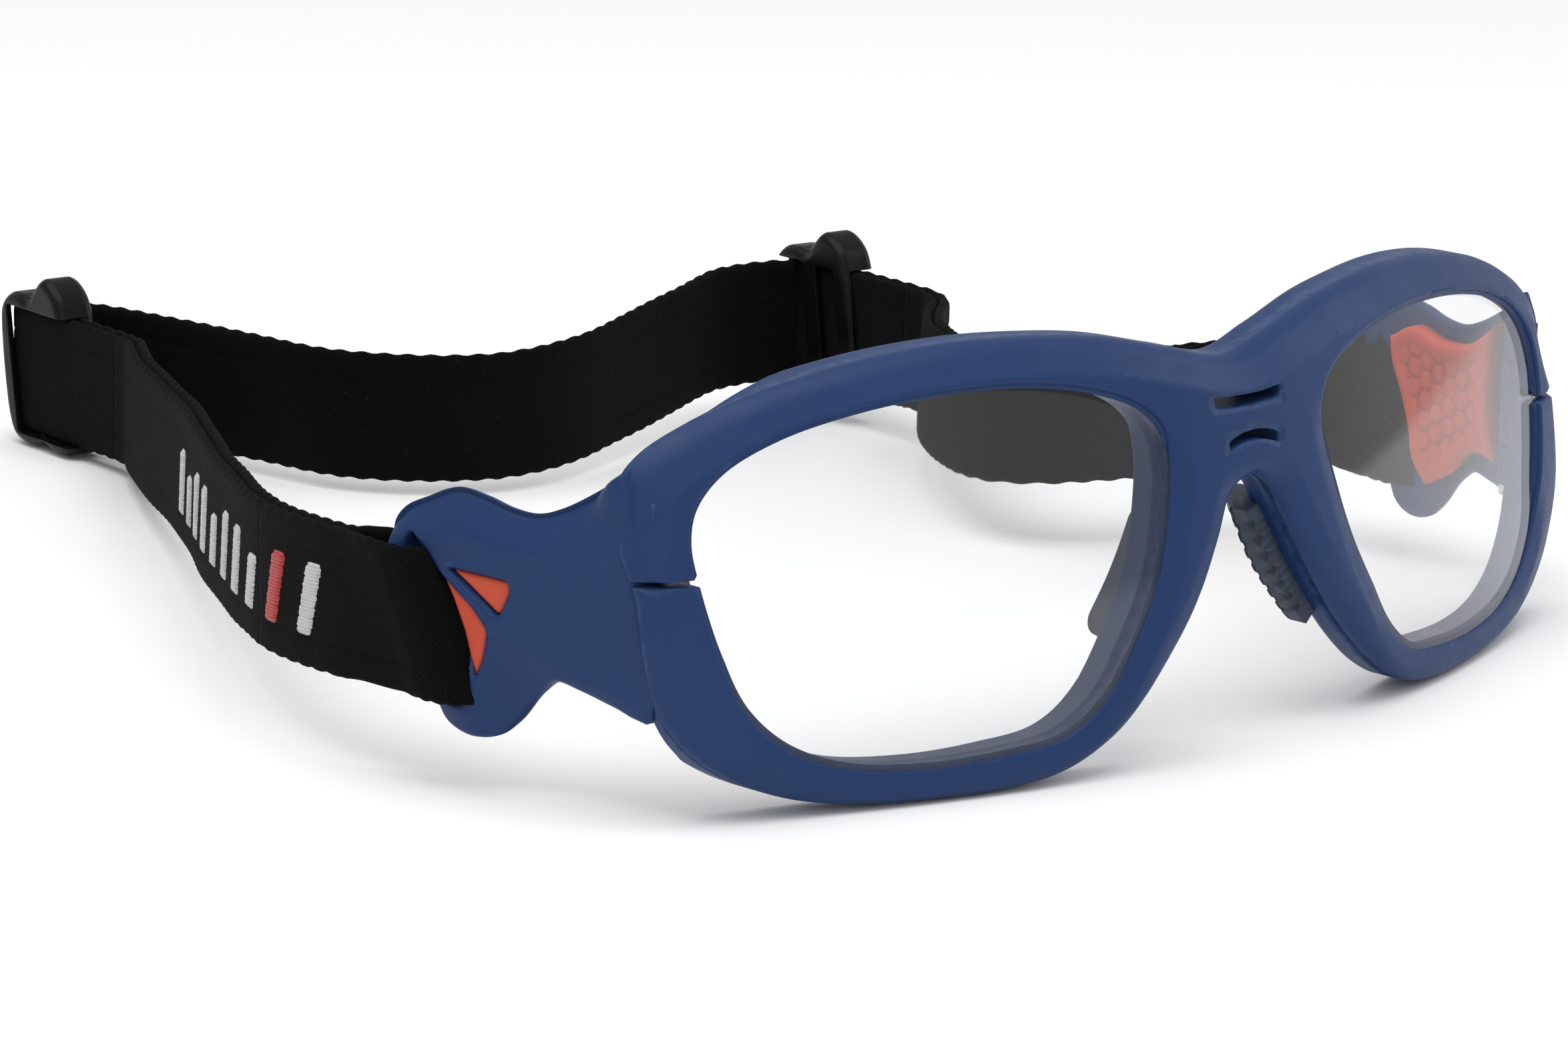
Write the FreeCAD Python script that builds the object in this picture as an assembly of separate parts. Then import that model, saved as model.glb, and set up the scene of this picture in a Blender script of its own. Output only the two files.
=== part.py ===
"""Sports protective goggles: a wrap front with two lenses, hinged side plates and an elastic strap.

Millimetres. The wearer looks along -Y, +Z is up, and the wearer's right side is at -X.
The goggles stand on their two rims, with the strap sliders on the same surface behind them.
"""
import FreeCAD, Part
import math
import os

V = FreeCAD.Vector
FAR = 90.0               # beyond every piece of the front and the side plates
SIDES = {"right": -1, "left": 1}
GAP = 0.25               # between pieces that move past each other

# ---- the front: y = WRAP_2 x^2 + WRAP_4 x^4 in plan, leaning back with height ---------------------
WRAP_2 = 0.0046
WRAP_4 = -1.6e-7
LEAN_1 = 0.168
LEAN_2 = 0.004
LEAN_Z = 20.4            # height at which the lean is counted from
RIM_DEPTH = 6.2          # front to back
RIM_BACK = 19.5          # the rims' ends are cut off flat here
# outer outline, +X half, as (x, z) from the top centre round to the nose arch
OUTLINE = [(0, 36.8), (7, 38.3), (15.5, 40.2), (23.4, 41.0), (30, 41.2), (37, 40.8), (44, 39.8),
           (51.9, 38.0), (58, 35.8), (62.6, 33.4), (64.8, 31.0), (65.4, 27.5), (65.4, 21.5),
           (65.2, 15.0), (64.3, 10.8), (61.8, 6.9), (57.5, 3.6), (52.1, 1.4), (46, 0.35), (38.5, 0.0),
           (31, 0.1), (25, 1.0), (19.9, 3.4), (15.4, 6.9), (11.3, 11.3), (8.1, 15.6), (5.3, 20.3),
           (2.9, 24.4), (0, 25.7)]
# lens opening on the +X side, at the front face
OPENING = [(60.2, 22.4), (60.4, 25.8), (59.5, 28.7), (56.7, 31.6), (51.1, 34.2), (43.4, 36.0),
           (34.9, 36.9), (26.2, 36.8), (18.8, 35.5), (14.0, 33.6), (11.8, 31.4), (11.5, 28.6),
           (12.6, 23.2), (14.5, 17.8), (17.5, 12.6), (21.0, 7.8), (25.4, 4.9), (31.5, 4.0),
           (39.5, 3.7), (47.2, 4.5), (52.6, 6.7), (56.2, 10.2), (58.6, 15.2)]
VENTS = [(4.6, 32.2, 1.3), (3.5, 29.0, 1.2)]     # half-width, lower edge and height of each bridge vent
SLIT = 0.5               # split in each rim, at its outer end
SLIT_X = 58.5
SLIT_Z = 22.3

# ---- lenses -------------------------------------------------------------------------------------
LENS_INSET = 0.8         # front face to lens
LENS_T = 1.8
LENS_SEAT = 0.8          # how far the lens goes into its groove
GROOVE_PLAY = 0.05
LENS_NOTCH = 1.0         # half the height of the notch where the rim is split
LENS_NOTCH_X = 60.4

# ---- nose pads, +X side, as (x, z) ----------------------------------------------------------------
NOSE_INNER = [(2.9, 21.2), (5.6, 15.4), (11.0, 8.9)]
NOSE_OUTER = [(15.0, 11.2), (10.9, 16.6), (7.2, 22.4)]
NOSE_SET_IN = 4.4        # front face to the pad
NOSE_T = 7.4

# ---- hinges -------------------------------------------------------------------------------------
HINGE_X = 62.0
HINGE_Y = 20.6
LUG_R = 1.6
LUG_ROOT_Y = 16.5
BORE_R = 0.75
PIN_R = 0.70
KNUCKLE_Z = (16.4, 25.2)
LUGS_Z = ((12.2, 16.25), (25.35, 29.6))
SCREW_Z = (11.1, 29.4)
SCREW_HEAD_R = 1.35
SCREW_HEAD_T = 1.05
SCREW_SLOT = 0.4
INSERT_R = 1.10
INSERT_Z = (26.2, 29.5)
INSERT_PLAY = 0.02
ARM_T = 1.4              # plate that joins the knuckle to the side plate
ARM_Y = 23.5

# ---- side plates, outlines as (y, z) --------------------------------------------------------------
PLATE_X0 = 64.9          # outer face at PLATE_Y0
PLATE_Y0 = 18.0
PLATE_SPLAY = 0.234      # outward, per mm rearward
PLATE_T = 2.6
PLATE_CORNERS = {"low": (17.6, 9.3), "prong": (41.0, 8.1), "tip": (46.0, 21.6), "high": (20.6, 32.2)}
SEAM = [(20.6, 32.2), (19.4, 29.4), (19.1, 26.0), (18.8, 22.6), (18.2, 19.9), (16.6, 15.8),
        (15.8, 13.4), (17.6, 9.3)]
LOWER_EDGE = [(17.6, 9.3), (21.5, 10.2), (25.2, 11.2), (27.8, 11.6), (30.0, 10.0), (32.4, 7.0),
              (34.6, 5.3), (37.2, 4.9), (39.6, 5.9), (41.0, 8.1)]
BAR_REAR = [(41.0, 8.1), (46.0, 21.6)]
UPPER_EDGE = [(46.0, 21.6), (45.9, 24.0), (44.7, 25.6), (42.2, 26.9), (39.3, 28.1), (36.2, 27.7),
              (33.6, 27.0), (30.8, 26.8), (28.0, 27.7), (24.6, 29.6), (20.6, 32.2)]
SLOT = [(38.9, 8.2), (43.9, 21.6), (43.3, 23.4), (41.0, 21.6), (38.8, 18.2), (37.4, 14.8),
        (36.7, 11.6), (36.9, 8.6)]
WINDOWS = ([(39.2, 20.9), (32.4, 20.5), (32.2, 19.5), (33.2, 17.2), (33.8, 17.0)],
           [(40.2, 20.6), (36.3, 17.5), (34.6, 15.5), (35.3, 12.4), (36.0, 10.6), (36.7, 12.2),
            (37.5, 15.0), (38.8, 18.0)])

# ---- side pads: front, lower, rear and upper edges as (y, z), meeting in four corners ---------------
PAD_T = 2.1
PAD_FRONT = [(23.8, 28.4), (24.1, 20.6), (22.6, 13.8)]
PAD_LOWER = [(22.6, 13.8), (26.4, 14.2), (30.0, 11.2), (33.4, 9.2)]
PAD_REAR = [(33.4, 9.2), (35.7, 11.6), (36.6, 15.0), (38.0, 18.4), (39.6, 21.4), (40.2, 24.2)]
PAD_UPPER = [(40.2, 24.2), (36.6, 25.9), (32.0, 25.1), (28.0, 25.6), (23.8, 28.4)]
BOSS_INSET = 0.3         # the bosses stop this far below the plate's outer face
BOSS_FIT = 0.94          # boss size against its window

# ---- strap --------------------------------------------------------------------------------------
WEB_T = 1.2              # elastic webbing
WEB_W = 14.3
SIDE_T = 2.7             # a side strap is two layers
SIDE_START = (49.6, 8.2)                        # (y, z) of its lower edge at the side plates
REAR_Z = 1.3             # lower edge of the webbing behind the head and in the right slider
LIFT = {"right": 0.0, "left": 2.4}              # how far the webbing holds each slider up
SIDE_END = {"right": (157.0, REAR_Z), "left": (106.0, REAR_Z + LIFT["left"])}
BACK_RISE = (15.0, 58.0)                        # x between which the back strap rises to the left slider
LOOP_Z = (8.5, 21.2)     # the fold round the strap bar
LOOP_BAR_Y = 40.1        # middle of the bar at the fold's lower end
LOOP_OUTER = (5.2, 2.75, 3.5)                   # rearward, forward and sideways reach from the bar
LOOP_INNER = (3.9, 1.6, 2.3)
LOOP_MIDDLE = 0.3        # the fold is widest this far ahead of its middle
# plan curves, as (x, y)
SIDE_FRONT = {"right": [(-70.3, 50.5), (-69.6, 56), (-66.8, 66), (-61.6, 76.2), (-56.6, 84.4)],
              "left": [(69.3, 51.2), (63.4, 54.6), (54.6, 59.2), (46.9, 63.6), (42.3, 68.0), (40.7, 72.5)]}
SIDE_REAR = {"right": [(-56.5, 84.6), (-50.3, 94.6), (-35.8, 116.2), (-20.3, 142.2), (-14.2, 151.4),
                       (-11.5, 155.4), (-10.45, 159.4), (-9.84, 164.0), (-9.12, 169.5), (-8.0, 177.9)],
             "left": [(40.7, 72.8), (41.7, 77.5), (45.2, 83.6), (53.6, 94.8), (60.9, 101.9),
                      (65.8, 105.8), (68.1, 108.9), (68.9, 112.0), (69.49, 116.5), (70.28, 122.5),
                      (71.66, 133.0)]}
BACK = [(-6.4, 177.0), (-3.3, 175.7), (-1.7, 171.0), (-0.5, 163.0), (0.8, 149.0), (2.6, 136.3),
        (9.5, 127.3), (18.0, 123.4), (26.0, 123.4), (36.1, 126.5), (47.9, 130.7), (59.0, 134.5),
        (66.4, 134.2), (69.84, 132.6)]

# ---- sliders ------------------------------------------------------------------------------------
LOBE_TOP = {"front": 19.7, "rear": 17.3}
SLIDER_LEAN = 0.17       # rearward, per mm of height
LEAN_FROM = 8.6          # height at which the slider's lean is counted from
SLIDER_N = 2.4           # half of its thickness
SLIDER_DIR = (0.13, 0.9915)
SLIDER_AT = {"right": (-8.6, 173.4), "left": (71.07, 128.5)}
LOBE_L = 7.1
LOBE_AT = 3.4            # middle of each lobe from the middle of the slider
LOBE_ROUND = 3.3
MIDDLE_BAR = 1.3         # half its width
OUTER_BAR = 4.9          # inner edge of the front bar and of the rear bar
WEB_PLAY = (0.25, 0.2, 0.15)                    # window to webbing, bars to webbing, rails to webbing


# ---- helpers ------------------------------------------------------------------------------------
def front_y(x, z):
    dz = z - LEAN_Z
    return WRAP_2 * x * x + WRAP_4 * x ** 4 + LEAN_1 * dz + LEAN_2 * dz * dz


def plate_x(y):
    return PLATE_X0 + PLATE_SPLAY * (y - PLATE_Y0)


def curve(points, closed=False):
    line = Part.BSplineCurve()
    line.interpolate(points, PeriodicFlag=closed)
    return line


def segment(start, end):
    return Part.LineSegment(start, end).toShape()


def main_solid(shape):
    """The largest solid of a boolean result."""
    return max(shape.Solids, key=lambda solid: solid.Volume)


def box(x0, x1, y0, y1, z0, z1):
    return Part.makeBox(x1 - x0, y1 - y0, z1 - z0, V(x0, y0, z0))


def upright(x, y, radius, z0, z1):
    return Part.makeCylinder(radius, z1 - z0, V(x, y, z0), V(0, 0, 1))


def mirror(shape, side):
    return shape if side > 0 else shape.mirror(V(0, 0, 0), V(1, 0, 0))


def prism(points, direction):
    return Part.Face(Part.makePolygon(points + points[:1])).extrude(direction)


def loop_face_xz(points, grow=0.0):
    """A face bounded by a smooth closed curve through (x, z) points, grown outward by a distance."""
    line = curve([V(x, 0, z) for x, z in points], closed=True)
    if grow:
        count = 2 * len(points)
        first, last = line.FirstParameter, line.LastParameter
        centre = Part.Face(Part.Wire(line.toShape())).CenterOfMass
        moved = []
        for i in range(count):
            u = first + (last - first) * i / count
            along = line.tangent(u)[0]
            out = V(along.z, 0, -along.x)
            if out.dot(line.value(u) - centre) < 0:
                out = out * -1
            moved.append(line.value(u) + out * grow)
        line = curve(moved, closed=True)
    return Part.Face(Part.Wire(line.toShape()))


def through_y(face):
    """A face in the XZ plane made into a prism that passes right through the front."""
    face.translate(V(0, -FAR, 0))
    return face.extrude(V(0, 2 * FAR, 0))


def through_x(face):
    """A face in the YZ plane made into a prism that passes right through the left side plate."""
    return face.extrude(V(FAR, 0, 0))


def edge_yz(points):
    """A straight edge through two (y, z) points, or a smooth one through more."""
    line = [V(0, y, z) for y, z in points]
    return segment(*line) if len(line) == 2 else curve(line).toShape()


def face_yz(*edges):
    return Part.Face(Part.Wire([edge_yz(points) for points in edges]))


def smooth_face_yz(points):
    return Part.Face(Part.Wire(curve([V(0, y, z) for y, z in points], closed=True).toShape()))


def polygon_face_yz(points):
    line = [V(0, y, z) for y, z in points]
    return Part.Face(Part.makePolygon(line + line[:1]))


def front_slab(offset, thickness):
    """The space between the front's wrap surface moved back by offset and that surface moved back further."""
    xs = [FAR * i / 9 for i in range(-9, 10)]
    zs = [9.0 * j - 6.0 for j in range(7)]
    surface = Part.BSplineSurface()
    surface.interpolate([[V(x, front_y(x, z) + offset, z) for z in zs] for x in xs])
    return surface.toShape().extrude(V(0, thickness, 0))


def plate_slab(inset, thickness):
    """The space between the side plate's outer plane moved in by inset and that plane moved in further."""
    corners = [(plate_x(y) - inset, y) for y in (0, FAR)]
    corners += [(x - thickness, y) for x, y in reversed(corners)]
    return prism([V(x, y, 0) for x, y in corners], V(0, 0, FAR))


def scaled(points, factor):
    """(y, z) points drawn in towards their middle."""
    y = sum(point[0] for point in points) / len(points)
    z = sum(point[1] for point in points) / len(points)
    return [(y + (point[0] - y) * factor, z + (point[1] - z) * factor) for point in points]


def ribbon(points, thickness, start, end, along=V(0, 1, 0)):
    """Webbing on edge along a plan curve; its lower edge is level up to start and again after end.

    Both are (distance along the given axis, z).
    """
    middle = curve([V(x, y, 0) for x, y in points])
    count = 4 * len(points)
    first, last = middle.FirstParameter, middle.LastParameter
    near, far = [], []
    for i in range(count + 1):
        u = first + (last - first) * i / count
        ahead = middle.tangent(u)[0]
        across = V(-ahead.y, ahead.x, 0) * (thickness / 2)
        near.append(middle.value(u) + across)
        far.append(middle.value(u) - across)
    outline = [curve(near).toShape(), segment(near[-1], far[-1])]
    outline += [curve(far[::-1]).toShape(), segment(far[0], near[0])]
    wall = Part.Face(Part.Wire(outline)).extrude(V(0, 0, FAR))
    low = [(-FAR, start[1]), start, end, (3 * FAR, end[1])]
    corners = low + [(at, z + WEB_W) for at, z in reversed(low)]
    sideways = V(along.y, along.x, 0)
    band = prism([along * at + V(0, 0, z) - sideways * FAR for at, z in corners], sideways * 4 * FAR)
    return main_solid(wall.common(band))


# ---- the front ----------------------------------------------------------------------------------
def opening(side, grow=0.0):
    return through_y(loop_face_xz([(side * x, z) for x, z in OPENING], grow))


def behind_seam(gap):
    """Everything behind the seam between the front and the left side plate, moved back by gap."""
    seam = [(y + gap, z) for y, z in SEAM]
    high, low = seam[0], seam[-1]
    corners = [low, (low[0], -FAR), (FAR, -FAR), (FAR, FAR), (high[0], FAR), high]
    edges = [[corners[i], corners[i + 1]] for i in range(len(corners) - 1)]
    return through_x(face_yz(seam, *edges))


def build_lug(z0, z1):
    """One lug of the left hinge, joined to the rim behind the lens groove."""
    web = box(HINGE_X - LUG_R, HINGE_X + LUG_R, LUG_ROOT_Y, HINGE_Y, z0, z1)
    lens_space = front_slab(-FAR, FAR + LENS_INSET + LENS_T + 2 * GROOVE_PLAY)
    web = web.cut(opening(1, LENS_SEAT + 2 * GROOVE_PLAY).common(lens_space))
    return upright(HINGE_X, HINGE_Y, LUG_R, z0, z1).fuse(web)


def build_front():
    whole = OUTLINE + [(-x, z) for x, z in reversed(OUTLINE[1:-1])]
    body = through_y(loop_face_xz(whole)).common(front_slab(0, RIM_DEPTH))
    body = body.common(box(-FAR, FAR, -FAR, RIM_BACK, -FAR, FAR))
    groove = front_slab(LENS_INSET - GROOVE_PLAY, LENS_T + 2 * GROOVE_PLAY)
    plate_room = behind_seam(0).common(box(plate_x(PLATE_Y0) - PLATE_T - 1, FAR, 0, FAR, -FAR, FAR))
    slit = box(SLIT_X, FAR, 0, FAR, SLIT_Z - SLIT / 2, SLIT_Z + SLIT / 2)
    bore = upright(HINGE_X, HINGE_Y, BORE_R, 0, FAR)
    knuckle_room = upright(HINGE_X, HINGE_Y, LUG_R + GAP, LUGS_Z[0][1], LUGS_Z[1][0])
    insert_seat = upright(HINGE_X, HINGE_Y, INSERT_R + INSERT_PLAY, INSERT_Z[0], FAR)
    for side in SIDES.values():
        body = body.cut(opening(side))
        body = body.cut(opening(side, LENS_SEAT + GROOVE_PLAY).common(groove))
        body = body.cut(mirror(plate_room, side))
        body = body.cut(mirror(slit, side))
        for z0, z1 in LUGS_Z:
            body = body.fuse(mirror(build_lug(z0, z1), side))
        body = body.cut(mirror(knuckle_room, side))
        body = body.cut(mirror(bore, side))
        body = body.cut(mirror(insert_seat, side))
    for half, low, height in VENTS:
        vent = box(-half, half, -FAR, FAR, low, low + height)
        for x in (-half, half):
            vent = vent.fuse(Part.makeCylinder(height / 2, 2 * FAR, V(x, -FAR, low + height / 2), V(0, 1, 0)))
        body = body.cut(vent)
    return main_solid(body)


def build_lens(side):
    blank = opening(side, LENS_SEAT).common(front_slab(LENS_INSET, LENS_T))
    notch = box(LENS_NOTCH_X, FAR, 0, FAR, SLIT_Z - LENS_NOTCH, SLIT_Z + LENS_NOTCH)
    lugs = upright(HINGE_X, HINGE_Y, LUG_R + GROOVE_PLAY, 0, FAR)
    return main_solid(blank.cut(mirror(notch.fuse(lugs), side)))


def build_nose_pad(side, front):
    """A soft strip fixed behind the nasal wall of one rim."""
    inner = [V(x, 0, z) for x, z in NOSE_INNER]
    outer = [V(x, 0, z) for x, z in NOSE_OUTER]
    outline = [curve(inner).toShape(), segment(inner[-1], outer[0])]
    outline += [curve(outer).toShape(), segment(outer[-1], inner[0])]
    strip = through_y(Part.Face(Part.Wire(outline))).common(front_slab(NOSE_SET_IN, NOSE_T))
    return mirror(main_solid(strip.cut(front)), side)


def build_hinge_screws():
    """One slotted screw per hinge, put in from below."""
    z0, z1 = SCREW_Z
    shank = upright(HINGE_X, HINGE_Y, PIN_R, z0, z1)
    head = upright(HINGE_X, HINGE_Y, SCREW_HEAD_R, z0, z0 + SCREW_HEAD_T)
    slot_y = (HINGE_Y - SCREW_SLOT / 2, HINGE_Y + SCREW_SLOT / 2)
    slot = box(HINGE_X - LUG_R, HINGE_X + LUG_R, *slot_y, 0, z0 + SCREW_SLOT)
    screw = shank.fuse(head).cut(slot)
    return Part.makeCompound([mirror(screw, side) for side in SIDES.values()])


def build_hinge_inserts():
    """The threaded bush in each upper lug that the hinge screw pulls against."""
    bush = upright(HINGE_X, HINGE_Y, INSERT_R, INSERT_Z[0] + INSERT_PLAY, INSERT_Z[1])
    bush = bush.cut(upright(HINGE_X, HINGE_Y, PIN_R + INSERT_PLAY, 0, FAR))
    return Part.makeCompound([mirror(bush, side) for side in SIDES.values()])


# ---- side plates --------------------------------------------------------------------------------
def build_side_plate(side):
    outline = through_x(face_yz(SEAM, LOWER_EDGE, BAR_REAR, UPPER_EDGE))
    plate = outline.common(plate_slab(0, PLATE_T)).common(behind_seam(GAP))
    plate = plate.cut(through_x(smooth_face_yz(SLOT)))
    for window in WINDOWS:
        plate = plate.cut(through_x(polygon_face_yz(window)))
    reach = LUG_R + GAP
    for z0, z1 in ((0, LUGS_Z[0][1] + GAP), (LUGS_Z[1][0] - GAP, LUGS_Z[1][1] + GAP)):
        plate = plate.cut(upright(HINGE_X, HINGE_Y, reach, z0, z1))
        plate = plate.cut(box(HINGE_X - reach, HINGE_X + reach, 0, HINGE_Y, z0, z1))
    knuckle = upright(HINGE_X, HINGE_Y, LUG_R, *KNUCKLE_Z)
    arm_y = (HINGE_Y - ARM_T / 2, ARM_Y)
    arm = box(HINGE_X, plate_x(ARM_Y) - PLATE_T / 2, *arm_y, *KNUCKLE_Z)
    plate = plate.fuse(knuckle).fuse(arm)
    plate = plate.cut(upright(HINGE_X, HINGE_Y, BORE_R, 0, FAR))
    return mirror(main_solid(plate), side)


def build_side_pad(side):
    """Soft liner on the head side of a plate, with two bosses that fill the plate's windows."""
    liner = through_x(face_yz(PAD_FRONT, PAD_LOWER, PAD_REAR, PAD_UPPER)).common(plate_slab(PLATE_T, PAD_T))
    bosses = plate_slab(BOSS_INSET, PLATE_T)
    for window in WINDOWS:
        liner = liner.fuse(through_x(polygon_face_yz(scaled(window, BOSS_FIT))).common(bosses))
    return mirror(main_solid(liner), side)


def build_strap_loop(side, left_plate):
    """The fold of webbing round the strap bar, leaning with the bar."""
    z0, z1 = LOOP_Z
    (bar_y0, bar_z0), (bar_y1, bar_z1) = BAR_REAR
    lean_y = (bar_y1 - bar_y0) / (bar_z1 - bar_z0)
    lean = V(PLATE_SPLAY * lean_y, lean_y, 1) * (z1 - z0)
    bar_x = plate_x(LOOP_BAR_Y) - PLATE_T / 2

    def oval(back, front, half):
        widest_y = LOOP_BAR_Y + (back - front) / 2 - LOOP_MIDDLE
        points = [V(bar_x + half, widest_y, z0), V(bar_x, LOOP_BAR_Y + back, z0)]
        points += [V(bar_x - half, widest_y, z0), V(bar_x, LOOP_BAR_Y - front, z0)]
        return Part.Face(Part.Wire(curve(points, closed=True).toShape())).extrude(lean)

    fold = oval(*LOOP_OUTER).cut(oval(*LOOP_INNER)).cut(left_plate)
    return mirror(main_solid(fold), side)


# ---- sliders ------------------------------------------------------------------------------------
def leaning(x0, x1, y0, y1, z0, z1):
    """A box whose ends lean rearward as the slider's do."""
    corners = [(x0, z0), (x1, z0), (x1, z1), (x0, z1)]
    return prism([V(x + SLIDER_LEAN * (z - LEAN_FROM), y0, z) for x, z in corners], V(0, y1 - y0, 0))


def build_slider():
    """A three-bar slide along +X with its rear end at +X, its rear bar outside and the others at +Y."""
    window_play, bar_play, rail_play = WEB_PLAY
    low, high = REAR_Z - rail_play, REAR_Z + WEB_W + rail_play
    body = None
    for middle, top in ((-LOBE_AT, LOBE_TOP["front"]), (LOBE_AT, LOBE_TOP["rear"])):
        lobe = leaning(middle - LOBE_L / 2, middle + LOBE_L / 2, -SLIDER_N, SLIDER_N, 0, top)
        corners = [edge for edge in lobe.Edges if abs(edge.BoundBox.YLength - 2 * SLIDER_N) < 1e-6]
        lobe = lobe.makeFillet(LOBE_ROUND, corners)
        body = lobe if body is None else body.fuse(lobe)
    web = SIDE_T / 2
    body = body.cut(box(-FAR, FAR, -web - window_play, web + window_play, low, high))
    body = body.cut(leaning(-FAR, OUTER_BAR, -FAR, -web - bar_play, low, high))
    body = body.cut(leaning(MIDDLE_BAR, FAR, web + bar_play, FAR, low, high))
    return main_solid(body.cut(leaning(-OUTER_BAR, -MIDDLE_BAR, web + bar_play, FAR, low, high)))


def place_slider(name):
    slider = build_slider()
    if SIDES[name] < 0:
        slider = slider.mirror(V(0, 0, 0), V(0, 1, 0))
    slider.rotate(V(0, 0, 0), V(0, 0, 1), math.degrees(math.atan2(SLIDER_DIR[1], SLIDER_DIR[0])))
    slider.translate(V(*SLIDER_AT[name], LIFT[name]))
    return slider


# ---- all the nodes ------------------------------------------------------------------------------
def build_all():
    front = build_front()
    left_plate = build_side_plate(1)
    nodes = {"front_frame": front}
    nodes["hinge_screws"] = build_hinge_screws()
    nodes["hinge_inserts"] = build_hinge_inserts()
    for name, side in SIDES.items():
        nodes["lens_" + name] = build_lens(side)
        nodes["nose_pad_" + name] = build_nose_pad(side, front)
        nodes["side_plate_" + name] = build_side_plate(side)
        nodes["side_pad_" + name] = build_side_pad(side)
        nodes["strap_loop_" + name] = build_strap_loop(side, left_plate)
        nodes["side_strap_front_" + name] = ribbon(SIDE_FRONT[name], SIDE_T, SIDE_START, SIDE_END[name])
        nodes["side_strap_rear_" + name] = ribbon(SIDE_REAR[name], SIDE_T, SIDE_START, SIDE_END[name])
        nodes["strap_slider_" + name] = place_slider(name)
    rise = ((BACK_RISE[0], REAR_Z), (BACK_RISE[1], REAR_Z + LIFT["left"]))
    nodes["back_strap"] = ribbon(BACK, WEB_T, *rise, along=V(1, 0, 0))
    return nodes


def main():
    nodes = build_all()
    corners = [point for shape in nodes.values() for point in shape.tessellate(0.05)[0]]
    low = [min(point[i] for point in corners) for i in range(3)]
    high = [max(point[i] for point in corners) for i in range(3)]
    shift = V(-(low[0] + high[0]) / 2, -(low[1] + high[1]) / 2, -low[2])
    print("origin at", [round(-c, 4) for c in shift], "size", [round(h - l, 2) for l, h in zip(low, high)])
    os.makedirs("parts", exist_ok=True)
    for name, shape in nodes.items():
        shape.translate(shift)
        print(name, "valid", shape.isValid(), "solids", len(shape.Solids), "mm3", round(shape.Volume, 1))
        shape.exportStep("parts/" + name + ".step")


main()
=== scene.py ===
import math

import bpy
import numpy as np
from mathutils import Matrix, Vector
from mathutils.geometry import delaunay_2d_cdt


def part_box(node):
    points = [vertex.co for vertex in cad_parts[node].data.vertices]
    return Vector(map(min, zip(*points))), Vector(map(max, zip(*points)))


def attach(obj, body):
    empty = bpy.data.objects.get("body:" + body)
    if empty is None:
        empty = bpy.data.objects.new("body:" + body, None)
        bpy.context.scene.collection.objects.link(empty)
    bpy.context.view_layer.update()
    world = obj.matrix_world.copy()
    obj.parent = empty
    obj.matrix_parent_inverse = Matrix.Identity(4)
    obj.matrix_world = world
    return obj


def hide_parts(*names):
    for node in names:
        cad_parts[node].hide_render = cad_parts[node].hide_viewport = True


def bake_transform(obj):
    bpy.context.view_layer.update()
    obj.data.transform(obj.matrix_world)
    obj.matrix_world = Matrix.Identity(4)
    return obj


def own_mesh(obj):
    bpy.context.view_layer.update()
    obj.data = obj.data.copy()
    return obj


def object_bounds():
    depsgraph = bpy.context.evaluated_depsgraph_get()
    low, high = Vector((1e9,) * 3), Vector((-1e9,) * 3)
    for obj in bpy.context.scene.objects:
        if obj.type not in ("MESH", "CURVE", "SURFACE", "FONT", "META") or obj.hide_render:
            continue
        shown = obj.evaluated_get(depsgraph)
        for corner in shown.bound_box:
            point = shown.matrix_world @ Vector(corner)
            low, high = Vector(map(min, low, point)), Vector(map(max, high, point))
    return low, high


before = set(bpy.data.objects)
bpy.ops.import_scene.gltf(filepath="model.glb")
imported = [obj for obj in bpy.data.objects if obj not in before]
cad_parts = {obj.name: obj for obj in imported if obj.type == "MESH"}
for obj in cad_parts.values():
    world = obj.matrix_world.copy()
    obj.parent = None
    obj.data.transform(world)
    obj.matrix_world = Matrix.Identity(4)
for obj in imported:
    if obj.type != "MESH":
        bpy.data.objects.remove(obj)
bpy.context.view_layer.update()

# ---- the frame: lengths below are in millimetres, in the goggles' own axes ------------------------
# x from the middle of the front, y and z from the hinge screws, whose place in those axes is known
SCREW_Y = 20.6
SCREW_LOW_Z = 11.1
screw_low, screw_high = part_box("hinge_screws")
ORIGIN = np.array([(screw_low.x + screw_high.x) / 2,
                   (screw_low.y + screw_high.y) / 2 - SCREW_Y / 1000,
                   screw_low.z - SCREW_LOW_Z / 1000])
SIDES = {"right": -1, "left": 1}


def place(points):
    """Millimetres in the goggles' own axes to metres in the row frame."""
    return np.asarray(points, float) / 1000 + ORIGIN


def point(x, y, z):
    return Vector(place((x, y, z)))


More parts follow.
